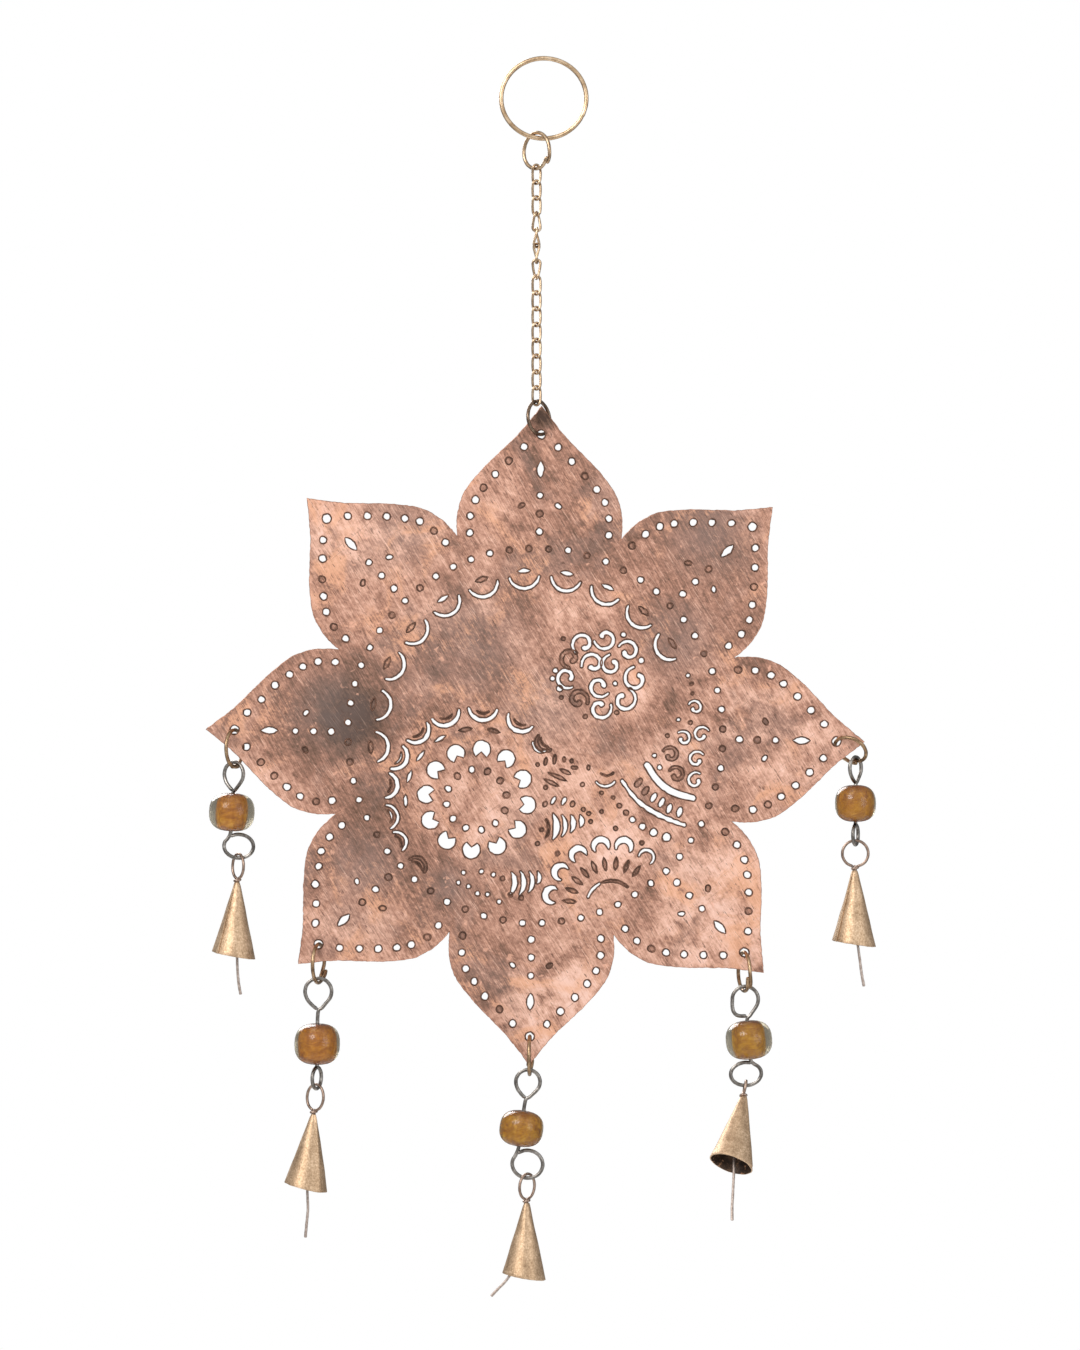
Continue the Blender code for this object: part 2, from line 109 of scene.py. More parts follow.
# Darker and lighter patches on the copper: right, up, radius, strength. The darkest, at (3, 111) on the top
# petal's tip inside the plate ring, is painted shade from the ring over dark patina
SPOTS = (
    (-72, 1, 32, -0.21), (-54, -20, 20, -0.10), (-62, 14, 26, -0.11), (-44, -46, 28, -0.10),
    (-62, -31, 24, -0.13), (-66, -50, 18, -0.07), (-46, 29, 20, -0.08), (-62, 46, 16, -0.07),
    (58, 52, 42, -0.10), (42, 38, 24, -0.04), (60, 31, 17, 0.10), (44, 10, 13, -0.20), (30, 1, 15, -0.17),
    (22, 63, 20, -0.10), (-10, 32, 34, -0.05), (8, -68, 18, -0.06), (14, -58, 16, 0.06), (8, -40, 14, 0.06),
    (-24, -56, 20, -0.11), (-20, -22, 9, -0.14), (24, -22, 12, -0.09), (2, 70, 26, -0.05),
    (-14, -8, 34, 0.09), (-20, -26, 27, 0.08), (64, -60, 50, 0.16), (6, -94, 30, 0.20), (84, 0, 28, 0.12),
    (96, 18, 20, 0.05), (28, -34, 26, 0.07), (-66, 72, 22, 0.11), (16, 40, 20, 0.09), (52, -22, 26, 0.07),
    (-98, 3, 18, 0.06), (3, 111, 8, -0.38), (28, -43, 17, 0.07), (-34, 26, 12, -0.09), (47, 12, 13, -0.05),
    (28, 14, 18, 0.07), (-56, -2, 14, -0.08), (-65, 9, 25, -0.12), (29, -40, 20, 0.09), (8, -85, 20, 0.08),
    (-34, 26, 14, -0.08), (36, 14, 12, 0.08), (7, -64, 15, 0.09), (7, -9, 14, 0.07), (7, -36, 13, 0.07),
    (-4, 55, 18, -0.05), (42, 24, 12, -0.05),
)
# Where the patina is greyish: right, up, radius
GREY = (
    (-23, 33, 34), (-47, 71, 24), (61, 72, 28), (49, 33, 22), (-70, 8, 26), (-60, -46, 22), (2, 10, 24),
    (-30, -52, 14),
)

# The five pendants, in metres and degrees. yaw and seam turn about Z, and lean is to the right in the front view.
# drop is from the joint above down to the bead's middle or the bell's apex
PENDANTS = dict(
    name=("west", "southwest", "south", "southeast", "east"),
    petal=(180, 225, 270, 315, 0),
    pin_lean=(-3, -1, -8, 5, 0),
    upper=(0.0042, 0.0046, 0.0042, 0.0045, 0.0038),
    upper_yaw=(-35, 0, 0, 0, 55),
    upper_end=("drop", "drop", "drop", "bent", "drop"),
    drop=(0.0174, 0.0228, 0.0205, 0.0186, 0.0161),
    bead=(0.0079, 0.0079, 0.0076, 0.0081, 0.0071),
    bead_half=(0.0066, 0.0071, 0.0062, 0.0067, 0.0064),
    core=(0.42, 0.57, 0.66, 0.45, 0.62),
    hue=(0.25, 0.15, 0.65, 0.85, 0.4),
    lower=(0.0041, 0.0037, 0.0048, 0.004, 0.0035),
    lower_wide=(0.0051, 0.004, 0.0053, 0.0053, 0.0037),
    lower_yaw=(0, 70, 0, 0, 72),
    shift=(0.003, 0.0, 0.0038, -0.002, 0.0),
    bell_loop=((0.004, 0.0043), (0.0041, 0.0045), (0.004, 0.0044), (0.0022, 0.0024), (0.0045, 0.0045)),
    bell_yaw=(-58, -44, 50, 90, 0),
    bell_drop=(0.0098, 0.0104, 0.0101, 0.0058, 0.0104),
    bell_lean=(-3, -6, -2, -12, -1),
    bell_pitch=(0, 0, 0, -27, 0),
    clapper_lean=(9, 4, -38, 8, 10),
    clapper_out=(0.0135, 0.0173, 0.0092, 0.0201, 0.0149),
    clapper_bow=(-0.0004, 0.0003, 0.0003, -0.0002, -0.0002),
    split=((0.85, -0.3, -0.62), (0.6, 0.6, -0.5), (0.3, 0.8, -0.4), (0.7, -0.6, -0.45), (0.1, 0.3, -1.0)),
    seam=(215, 300, 25, 318, 200),
    lap=(8, 8, 8, 14, 8),
)
# How a pin's upper loop starts beside the stem, as (across, up) from its middle over its radius, and the
# angle at which it goes over into a circle
UPPER_ENDS = {
    "drop": (((-0.16, -1.26), (-0.40, -1.07), (-0.70, -0.77)), 205),
    "bent": (((-0.14, -1.27), (-0.50, -1.24), (-0.82, -1.10), (-1.00, -0.80), (-1.04, -0.42)), 180),
}
# A wire's rounded end: how far out and how wide, over its radius
WIRE_END = ((0.85, 0.53), (0.5, 0.87))
STROKES = -57  # the brush strokes on the copper run down to the right

# ---- materials


def put(thing, **values):
    """The thing with these properties set."""
    for key, value in values.items():
        setattr(thing, key, value)
    return thing


class Nodes:
    """A node tree, with short ways to add to it. Values are numbers, colours or other nodes' outputs."""

    def __init__(self, tree):
        self.tree = tree

    def join(self, source, socket):
        if isinstance(source, (int, float, Vector)):
            socket.default_value = source
        elif isinstance(source, tuple):
            socket.default_value = source if len(source) == len(socket.default_value) else (*source, 1)
        else:
            self.tree.links.new(source, socket)

    def node(self, kind, inputs, output=0, **settings):
        """Adds a node, joins its inputs up by name or number, and gives one of its outputs."""
        node = put(self.tree.nodes.new("ShaderNode" + kind), **settings)
        for key, source in inputs.items():
            self.join(source, node.inputs[key])
        return node.outputs[output] if node.outputs else None

    def remap(self, value, low, high, at_low=0.0, at_high=1.0, how="LINEAR"):
        spans = {"Value": value, "From Min": low, "From Max": high, "To Min": at_low, "To Max": at_high}
        return self.node("MapRange", spans, interpolation_type=how)

    def steps(self, value, low, high, at_low=0.0, at_high=1.0):
        return self.remap(value, low, high, at_low, at_high, "SMOOTHSTEP")

    def ramp(self, value, *stops):
        colour = self.node("ValToRGB", {0: value})
        points = colour.node.color_ramp.elements
        while len(points) < len(stops):
            points.new(0.5)
        for point, (at, shade) in zip(points, stops):
            put(point, position=at, color=(*shade, 1))
        return colour


class Look(Nodes):
    """A procedural material in object coordinates, in metres."""

    def __init__(self, name):
        self.material = bpy.data.materials.new(name)
        self.material.use_nodes = True
        super().__init__(self.material.node_tree)
        self.place = self.node("TexCoord", {}, "Object")

    def math(self, operation, a, b=0.0, clamp=False):
        return self.node("Math", {0: a, 1: b}, operation=operation, use_clamp=clamp)

    def times(self, a, b):
        return self.math("MULTIPLY", a, b)

    def sum(self, start, *terms):
        """start and, for each (output, weight), that weight of what the output is above a half."""
        for output, weight in terms:
            start = self.math("ADD", start, self.times(self.math("SUBTRACT", output, 0.5), weight))
        return start

    def line(self, value, slope, start):
        """start and slope times value, kept between 0 and 1."""
        return self.math("ADD", self.times(value, slope), start, clamp=True)

    def along(self, direction):
        return self.node("VectorMath", {0: self.place, 1: direction}, "Value", operation="DOT_PRODUCT")

    def near(self, centre, radius):
        """One at centre and nothing beyond radius."""
        distance = self.node("VectorMath", {0: self.place, 1: centre}, "Value", operation="DISTANCE")
        return self.remap(distance, 0, radius, 1, 0, "SMOOTHERSTEP")

    def noise(self, scale, detail=3.0, rough=0.55, distortion=0.0, place=None):
        inputs = {"Vector": place or self.place, "Scale": scale, "Detail": detail, "Roughness": rough}
        return self.node("TexNoise", {**inputs, "Distortion": distortion}, "Fac")

    def strokes(self, angle, along, across, detail, rough, distortion=0.0):
        """Noise drawn out into strokes that run at this angle in the front view."""
        x, z = cos(radians(angle)), sin(radians(angle))
        runs = (((x, 0, z), along), ((-z, 0, x), across), ((0, 1, 0), across))
        place = {i: self.times(self.along(direction), scale) for i, (direction, scale) in enumerate(runs)}
        return self.noise(1.0, detail, rough, distortion, self.node("CombineXYZ", place))

    def cover(self, under, over, share, most=1.0):
        """One colour over another, as far as share says and never more than most of it."""
        return self.node("Mix", {"Factor": self.times(share, most), 6: under, 7: over}, 2, data_type="RGBA")

    def finish(self, height, strength, distance, **values):
        """Gives the shader its bumps and its values."""
        shader = self.tree.nodes["Principled BSDF"]
        if height:
            bumps = {"Strength": strength, "Distance": distance, "Height": height}
            values["Normal"] = self.node("Bump", bumps)
        for key, value in values.items():
            self.join(value, shader.inputs[key.replace("_", " ")])
        return self.material


def copper_look(name, spots, grey, lift):
    """Brushed copper under brown patina. lift is how much lighter all of it is."""
    look = Look(name)

    def near(right, up, radius):
        return look.near(FLOWER_AT + Vector((right, 0, up)) * MM, radius * MM)

    cloud = look.noise(21, 5, 0.6, 0.8)
    blotch = look.noise(95, 4, 0.62, 0.6)
    broad = look.strokes(STROKES, 85, 820, 4, 0.62, 0.3)
    fine = look.strokes(STROKES - 4, 150, 2100, 3, 0.62)
    cross = look.strokes(STROKES + 38, 170, 1500, 3, 0.6, 0.2)
    mottle = look.noise(380, 4, 0.68, 0.5)
    grain = look.noise(1100, 3, 0.7)
    large = ((cloud, 0.74), (blotch, 0.54), (broad, 0.28), (fine, 0.48), (cross, 0.24))
    tone = look.sum(0.5 + lift, *large, (mottle, 0.42), (grain, 0.28))
    ragged = look.steps(blotch, 0.28, 0.62, 0.2, 1.35)
    # the darker and lighter patches; the one on the top petal's tip is painted shade from the plate ring
    for *place, strength in spots:
        tone = look.math("ADD", tone, look.times(look.times(near(*place), ragged), strength))
    colour = look.ramp(
        tone,
        (0.08, (0.062, 0.032, 0.02)),
        (0.2, (0.135, 0.072, 0.045)),
        (0.32, (0.228, 0.12, 0.083)),
        (0.42, (0.345, 0.176, 0.121)),
        (0.51, (0.485, 0.258, 0.183)),
        (0.6, (0.622, 0.354, 0.258)),
        (0.7, (0.765, 0.455, 0.341)),
        (0.85, (0.905, 0.59, 0.48)),
    )
    # cool brown patina in some parts and a warmer bare copper in others
    cool = look.times(look.steps(look.noise(31, 4, 0.6, 0.7), 0.5, 0.64), 0.55)
    greyer = look.steps(blotch, 0.3, 0.62, 0.5, 1.0)
    for place in grey:
        cool = look.math("MAXIMUM", cool, look.times(near(*place), greyer))
    dull = look.times(cool, look.steps(tone, 0.72, 0.46, 0.25, 1.0))
    colour = look.cover(colour, (0.215, 0.157, 0.14), dull, 0.52)
    warm = look.steps(look.noise(46, 4, 0.6, 0.9), 0.5, 0.64)
    colour = look.cover(colour, (0.8, 0.4, 0.22), look.times(warm, look.steps(tone, 0.38, 0.58)), 0.5)
    # flecks where the patina has come off, dark specks in the pits, and light and dark scratches
    fleck = look.steps(look.noise(330, 2, 0.5, 0.4), 0.66, 0.74)
    colour = look.cover(colour, (0.86, 0.47, 0.33), fleck, 0.55)
    pit = look.steps(look.strokes(STROKES, 330, 1900, 2, 0.5), 0.64, 0.71)
    colour = look.cover(colour, (0.11, 0.056, 0.04), pit, 0.75)
    scratch = look.steps(look.strokes(STROKES + 3, 110, 2800, 2, 0.5), 0.62, 0.68)
    worn = look.times(scratch, look.steps(tone, 0.28, 0.58, 0.12, 0.5))
    colour = look.cover(colour, (0.93, 0.62, 0.48), worn)
    stray = look.steps(look.strokes(STROKES + 96, 90, 2400, 2, 0.5, 0.3), 0.66, 0.71)
    colour = look.cover(colour, (0.16, 0.085, 0.062), stray, 0.35)
    height = look.sum(0, (broad, 0.5), (fine, 0.8), (scratch, -0.5), (pit, -0.6), (grain, 0.25))
    rough = look.line(tone, -0.22, 0.6)
    values = {"Base_Color": colour, "Metallic": 0.55, "Roughness": rough, "Anisotropic": 0.3}
    return look.finish(height, 0.35, 0.00012, **values)


def wire_look(name, low, middle, high, rough, metal, scale):
    """Plated wire: darker and brighter in random patches, with fine drawing marks."""
    look = Look(name)
    patch = look.noise(scale, 4, 0.6, 0.4)
    fine = look.noise(scale * 7, 3, 0.6)
    drawn = look.strokes(0, 6500, 900, 2, 0.6)
    tone = look.sum(0.5, (patch, 0.95), (fine, 0.42), (drawn, 0.22))
    colour = look.ramp(tone, (0.22, low), (0.52, middle), (0.8, high))
    height = look.sum(0, (fine, 0.7), (drawn, 0.5), (patch, 0.6))
    rough = look.line(patch, 0.22, rough - 0.1)
    return look.finish(height, 0.28, 0.00008, Base_Color=colour, Metallic=metal, Roughness=rough)


def bell_look():
    look = Look("brushed_brass_sheet")
    cloud = look.noise(130, 5, 0.62, 0.5)
    grit = look.noise(1500, 3, 0.65)
    brushed = look.strokes(-80, 350, 3300, 3, 0.6)
    spot = look.steps(look.noise(620, 3, 0.6, 0.5), 0.6, 0.72)
    colour = look.ramp(
        look.sum(0.5, (cloud, 0.6), (grit, 0.8), (brushed, 0.34)),
        (0.18, (0.2, 0.12, 0.068)),
        (0.42, (0.42, 0.285, 0.175)),
        (0.58, (0.58, 0.412, 0.268)),
        (0.84, (0.85, 0.665, 0.475)),
    )
    colour = look.cover(colour, (0.3, 0.18, 0.095), spot, 0.45)
    height = look.sum(0, (grit, 0.8), (brushed, 0.7), (spot, -0.5))
    rough = look.line(cloud, 0.22, 0.38)
    return look.finish(height, 0.4, 0.0001, Base_Color=colour, Metallic=0.85, Roughness=rough)


def bell_inside_look():
    # painted shade: the inside of a bell is coloured very dark brown in place of the shade in it, with painted
    # glints
    look = Look("painted_shade_brass")
    cloud = look.noise(260, 4, 0.65, 0.6)
    glint = look.steps(look.noise(520, 3, 0.6, 0.8), 0.6, 0.68)
    painted_shade_stops = ((0.3, (0.02, 0.013, 0.01)), (0.52, (0.075, 0.044, 0.028)), (0.72, (0.22, 0.125, 0.07)))
    colour = look.cover(look.ramp(cloud, *painted_shade_stops), (0.62, 0.33, 0.18), glint, 0.8)
    return look.finish(cloud, 0.5, 0.00015, Base_Color=colour, Metallic=0.6, Roughness=0.45)


def shell_look():
    look = Look("clear_bead_glass")
    seeds = look.steps(look.noise(2400, 2, 0.5), 0.66, 0.72)
    colour = look.cover((0.78, 0.7, 0.53), (0.5, 0.42, 0.28), seeds, 0.25)
    rough = look.line(look.noise(500, 3), 0.12, 0.1)
    values = {"Base_Color": colour, "Roughness": rough, "Transmission_Weight": 1.0, "IOR": 1.36}
    return look.finish(look.noise(260, 3, 0.5), 0.2, 0.00025, **values)


def amber_look(name, centre, half_tall, hue):
    """Swirled glass, redder at its two ends. hue runs from orange at 0 to olive yellow at 1."""
    look = Look(name)
    swirl = look.strokes(8, 170, 520, 3, 0.55, 1.6)
    cloud = look.noise(210, 4, 0.6, 1.2)
    green = 1 + 0.34 * hue
    red = 1 - 0.04 * hue
    stops = (
        (0.22, (0.23, 0.054, 0.004)),
        (0.43, (0.43, 0.14, 0.008)),
        (0.57, (0.58, 0.225, 0.012)),
        (0.78, (0.8, 0.43, 0.07)),
    )
    tone = look.sum(0.5, (swirl, 0.65), (cloud, 0.55))
    colour = look.ramp(tone, *((at, (r * red, g * green, b)) for at, (r, g, b) in stops))
    height = look.math("ABSOLUTE", look.math("SUBTRACT", look.along((0, 0, 1)), centre.z))
    end = look.steps(height, half_tall * 0.45, half_tall * 0.95)
    colour = look.cover(colour, (0.21, 0.038, 0.006), end, 0.75)
    values = {"Base_Color": colour, "Roughness": 0.45, "Coat_Weight": 0.4, "Coat_Roughness": 0.3}
    return look.finish(cloud, 0.25, 0.0002, **values)


# ---- tools


def turn(degrees, axis="Z"):
    return Matrix.Rotation(radians(degrees), 4, axis)


def shift(offset):
    return Matrix.Translation(Vector(offset))


def sideways(yaw):
    return turn(yaw) @ Vector((1, 0, 0))


def finish_piece(obj, name, body, slot, material, *nodes):
    """Names a piece, and says what it rides on, its material and the CAD nodes it stands for. Its slot is not
    used.
    """
    obj.name = name
    obj.data.name = name
    obj.data.materials.clear()
    obj.data.materials.append(material)
    if not obj.users_collection:
        bpy.context.scene.collection.objects.link(obj)
    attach(obj, body)
    if nodes:
        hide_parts(*nodes)


def mesh_object(name, vertices, faces):
    mesh = bpy.data.meshes.new(name)
    mesh.from_pydata([tuple(v) for v in vertices], [], faces)
    mesh.validate()
    work = bmesh.new()
    work.from_mesh(mesh)
    bmesh.ops.recalc_face_normals(work, faces=work.faces)
    work.to_mesh(mesh)
    work.free()
    mesh.shade_smooth()
    return bpy.data.objects.new(name, mesh)


def joined(name, *pieces):
    """Several pieces made into one object."""
    work = bmesh.new()
    for piece in pieces:
        work.from_mesh(piece.data)
        bpy.data.objects.remove(piece)
    mesh = bpy.data.meshes.new(name)
    work.to_mesh(mesh)
    work.free()
    mesh.shade_smooth()
    return bpy.data.objects.new(name, mesh)


def smooth_path(points, steps):
    """A Catmull-Rom curve through the points."""
    ends = [2 * points[0] - points[1], *points, 2 * points[-1] - points[-2]]
    out = []
    for a, b, c, d in zip(ends, ends[1:], ends[2:], ends[3:]):
        for t in (i / steps for i in range(steps)):
            square, cube = (2 * a - 5 * b + 4 * c - d) * t * t, (3 * b - a - 3 * c + d) * t * t * t
            out.append(0.5 * ((2 * b) + (c - a) * t + square + cube))
    return [*out, points[-1]]


def arc_points(centre, size, first, last, steps, yaw):
    """Points on an upright arc. size is its half width and half height, and yaw turns it about Z."""
    points = []
    for i in range(steps + 1):
        angle = radians(first + (last - first) * i / steps)
        points.append(centre + sideways(yaw) * (size[0] * cos(angle)) + UP * (size[1] * sin(angle)))
    return points


def tube_faces(rings, sides, closed=True):
    """The faces between rings of vertices, one after the other."""
    faces = []
    for i in range(rings if closed else rings - 1):
        this, following = i * sides, (i + 1) % rings * sides
        for j in range(sides):
            k = (j + 1) % sides
            faces.append((this + j, this + k, following + k, following + j))
    return faces


def sweep(name, path, size, sides=14, closed=False, flat=None, rough=0.0, taper=1.0):
    """A wire along a path. size is its radius, or its two half widths; flat is the direction of the first."""
    size = (size, size) if isinstance(size, (int, float)) else size
    count = len(path)
    tangents = []
    for i in range(count):
        before = path[i - 1] if closed or i else path[0]
        after = path[(i + 1) % count] if closed or i < count - 1 else path[-1]
        tangents.append((after - before).normalized())
    start = flat or (UP if abs(tangents[0].z) < 0.9 else Vector((1, 0, 0)))
    normals = [(start - tangents[0] * start.dot(tangents[0])).normalized()]
    for a, b in zip(tangents, tangents[1:]):
        normal = a.rotation_difference(b) @ normals[-1]
        normals.append((normal - b * normal.dot(b)).normalized())
    slip = 0.0
    if closed:
        last = tangents[-1].rotation_difference(tangents[0]) @ normals[-1]
        slip = math.atan2(last.cross(normals[0]).dot(tangents[0]), last.dot(normals[0]))
    rings = []
    for i in range(count):
        t = i / count if closed else i / (count - 1)
        rings.append((path[i], normals[i], tangents[i], 1 + (taper - 1) * t, slip * t))
    if not closed:
        ends = []
        for (place, normal, tangent, scale, twist), way in ((rings[0], -0.9), (rings[-1], 0.9)):
            out = tangent * (way * size[1] * scale)
            ends.append([(place + out * far, normal, tangent, scale * wide, twist) for far, wide in WIRE_END])
        rings = [*ends[0], *rings, *reversed(ends[1])]
    vertices = []
    for place, normal, tangent, scale, twist in rings:
        side = tangent.cross(normal)
        for j in range(sides):
            angle = 2 * pi * j / sides + twist
            wide = scale * (1 + rough * noise.noise(place * 900 + Vector((j * 0.9, 3.1, 0))))
            along = normal * (size[0] * wide * cos(angle))
            vertices.append(place + along + side * (size[1] * wide * sin(angle)))
    faces = tube_faces(len(rings), sides, closed)
    if not closed:
        faces.append(tuple(range(sides)))
        faces.append(tuple((len(rings) - 1) * sides + j for j in reversed(range(sides))))
    return mesh_object(name, vertices, faces)


def jump_ring(node, material, wire, split, lap):
    """A ring of wire in place of a CAD ring. Its two ends lie side by side in the direction split."""
    points = np.array([v.co for v in frame["nodes"][node].data.vertices], float)
    middle = Vector((points.max(0) + points.min(0)) / 2)
    offsets = points - points.mean(0)
    axis = np.linalg.svd(offsets, full_matrices=False)[2][2]
    reach = np.linalg.norm(offsets - np.outer(offsets @ axis, axis), axis=1)
    radius = (reach.max() + reach.min()) / 2
    axis = Vector(axis)
    level = (Vector(split) - axis * Vector(split).dot(axis)).normalized()
    side = axis.cross(level)
    path = []
    steps = 96
    for i in range(steps + 1):
        t = i / steps
        angle = radians(-lap + (360 + 2 * lap) * t)
        ease = max(0.0, 1 - min(t, 1 - t) / 0.13)
        apart = (1 if t > 0.5 else -1) * wire * 1.08 * ease * ease * (3 - 2 * ease)
        reach = radius * (1 + 0.010 * sin(3 * angle + 1.3))
        path.append(middle + level * reach * cos(angle) + side * reach * sin(angle) + axis * apart)
    ring = sweep("ring", path, wire, 16, rough=0.05)
    finish_piece(ring, f"{node}_wire", node, "antique_brass", material, node)


# ---- hanging ring and chain


def build_hanging(looks):
    low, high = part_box("hanging_ring")
    middle = (low + high) / 2
    wide = (high.x - low.x) / 2 - HANGING_WIRE
    tall = (high.z - low.z) / 2 - HANGING_WIRE

    def on_ring(angle):
        return middle + Vector((wide * cos(angle), 0, tall * sin(angle)))

    count = 160
    ring = sweep("ring", [on_ring(2 * pi * i / count) for i in range(count)], HANGING_WIRE, 20, closed=True)
    for vertex in ring.data.vertices:
        # the soldered seam at the lower right is a shallow groove beside a small bead of solder
        offset = vertex.co - middle
        around = math.atan2(offset.z / tall, offset.x / wide)
        angle = math.degrees(around) - SEAM_AT
        groove = 0.80 * math.exp(-((angle / 1.1) ** 2)) - 0.22 * math.exp(-(((angle - 4.2) / 2.2) ** 2))
        vertex.co = on_ring(around).lerp(vertex.co, 1 - 0.30 * groove)
    finish_piece(ring, "hanging_ring_wire", "hanging_ring", "polished_brass", looks["brass"], "hanging_ring")
    jump_ring("chain_top_ring", looks["antique"], RING_WIRE, (0.55, -0.45, -0.50), 7)
    jump_ring("plate_ring", looks["dark"], PLATE_RING_WIRE, (-0.6, 0.5, 0.35), 10)
    for number in range(1, LINK_COUNT + 1):
        build_link(number, looks["antique"])


def build_link(number, material):
    node = f"chain_link_{number:02d}"
    low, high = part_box(node)
    middle = (low + high) / 2
    half = (high.z - low.z) / 2 - LINK_CAD_WIRE
    yaw = 180 / TURN_STEPS * min(max(number - TURN_FIRST, 0), TURN_STEPS)
    straight = half - LINK_HALF_WIDTH
    flat = []
    for end in (1, -1):
        for i in range(17):
            angle = radians(180 / 16 * i + (0 if end > 0 else 180))
            flat.append((LINK_HALF_WIDTH * cos(angle), end * straight + LINK_HALF_WIDTH * sin(angle)))
        for i in range(1, 6):
            flat.append((-end * LINK_HALF_WIDTH, end * straight * (1 - i / 3)))
    path = [middle + turn(yaw + LINK_TWIST * z / half) @ Vector((x, 0, z)) for x, z in flat]
    link = sweep("link", path, LINK_WIRE, 14, closed=True, rough=0.05)
    finish_piece(link, f"{node}_wire", node, "antique_brass", material, node)


# ---- copper flower
# A hole is (outline, whether it goes through the sheet): the others are pits in its front.


def rotated(point, degrees):
    angle = radians(degrees)
    x, y = point
    return (x * cos(angle) - y * sin(angle), x * sin(angle) + y * cos(angle))


def moved(points, centre, degrees):
    turned = [rotated(point, degrees) for point in points]
    return [(centre[0] + x, centre[1] + y) for x, y in turned]


def polar(radius, degrees, centre=(0, 0)):
    angle = radians(degrees)
    return (centre[0] + radius * cos(angle), centre[1] + radius * sin(angle))


def oval(centre, across, along=None, angle=0, sides=18):
    """A round or oval hole, given by its half sizes."""
    turns = [2 * pi * i / sides for i in range(sides)]
    return moved([((along or across) * cos(t), across * sin(t)) for t in turns], centre, angle)


def dots(spots, least):
    """Small round holes at (right, up, radius). Those wider than least go through."""
    return [(oval((x, y), radius, sides=12), radius > least) for x, y, radius in spots]


def lens(centre, half_long, half_wide, angle=0, steps=10):
    """An eye shape with two pointed ends."""
    points = []
    for side in (1, -1):
        for t in (-1 + 2 * i / steps for i in range(steps)):
            points.append((side * half_long * t, side * -half_wide * (1 - t * t) ** 0.9))
    return moved(points, centre, angle)


def stroke(path, widths, cap=5):
    """The outline of a bent slit: a path with its width at each point, and round ends."""
    count = len(path)
    sides = ([], [])
    normals = []
    for i in range(count):
        a = path[max(i - 1, 0)]
        b = path[min(i + 1, count - 1)]
        dx, dy = b[0] - a[0], b[1] - a[1]
        size = math.hypot(dx, dy) or 1
        normals.append((-dy / size, dx / size))
        for side, half in zip(sides, (widths[i] / 2, -widths[i] / 2)):
            side.append((path[i][0] + half * normals[i][0], path[i][1] + half * normals[i][1]))
    ends = []
    for i, back in ((count - 1, 0), (0, 180)):
        start = math.degrees(math.atan2(normals[i][1], normals[i][0])) + back
        ends.append([polar(widths[i] / 2, start - 180 * k / cap, path[i]) for k in range(1, cap)])
    return [*sides[0], *ends[0], *reversed(sides[1]), *ends[1]]


def slit(path, ends, middle, power=1.0):
    """A bent slit that swells from its ends to its middle."""
    last = len(path) - 1
    return stroke(path, [ends + (middle - ends) * sin(pi * i / last) ** power for i in range(last + 1)])


def arc_path(centre, radius, first, last, steps):
    return [polar(radius, first + (last - first) * i / steps, centre) for i in range(steps + 1)]


def smile(centre, angle, chord, wide, bend=74):
    """A crescent whose back faces the direction opposite to angle."""
    radius = chord / 2 / sin(radians(bend))
    path = arc_path(polar(radius * 0.72, angle, centre), radius, angle + 180 - bend, angle + 180 + bend, 14)
    return slit(path, min(1.05, wide * 0.75), wide, 0.6)


def comma(centre, size, angle, hand=1, wide=1.55, sweep_by=350):
    """A spiral slit: a round head that runs out into a thin curl."""
    path = []
    widths = []
    first, steps = 4, 30
    for t in (i / steps for i in range(first, steps + 1)):
        path.append(polar(size * (0.16 + 0.84 * t**0.62), angle + hand * (sweep_by * (t - 1)), centre))
        head = math.exp(-((t / 0.20) ** 2))
        widths.append(wide * (0.72 + 0.28 * sin(pi * min(t * 1.05, 1)) ** 0.6) + head * wide * 0.70)
    return stroke(path, widths, 7)


def notched(centre, radius, angle):
    """A round hole with a V of metal left in it, on the side that angle gives."""
    return [*arc_path(centre, radius, angle + 36, angle + 324, 22), polar(radius * 0.30, angle, centre)]


def rough_outline(points, amount, seed):
    """The same outline, cut by hand."""
    out = []
    for x, y in points:
        spot = Vector((x * 0.9, y * 0.9, seed))
        out.append((x + amount * noise.noise(spot), y + amount * noise.noise(spot + Vector((7.7, 3.1, 0)))))
    return out


def petal_angles():
    return [90 - LEAN - 360 / PETALS * petal for petal in range(PETALS)]


def flower_outline():
    right = [(p.x, p.y) for p in smooth_path([Vector((x, y, 0)) * PETAL_RADIUS for x, y in PETAL_SIDE], 9)]
    petal = [*((-x, y) for x, y in right), *reversed(right[1:-1])]
    return [rotated(point, angle - 90) for angle in petal_angles() for point in petal]


def at_distance(points, distance):
    """The place that far along a path, and the path's direction there."""
    for a, b in zip(points, points[1:]):
        step = (b - a).length
        if distance <= step:
            return a.lerp(b, distance / step), (b - a).normalized()
        distance -= step
    return points[-1], (points[-1] - points[-2]).normalized()


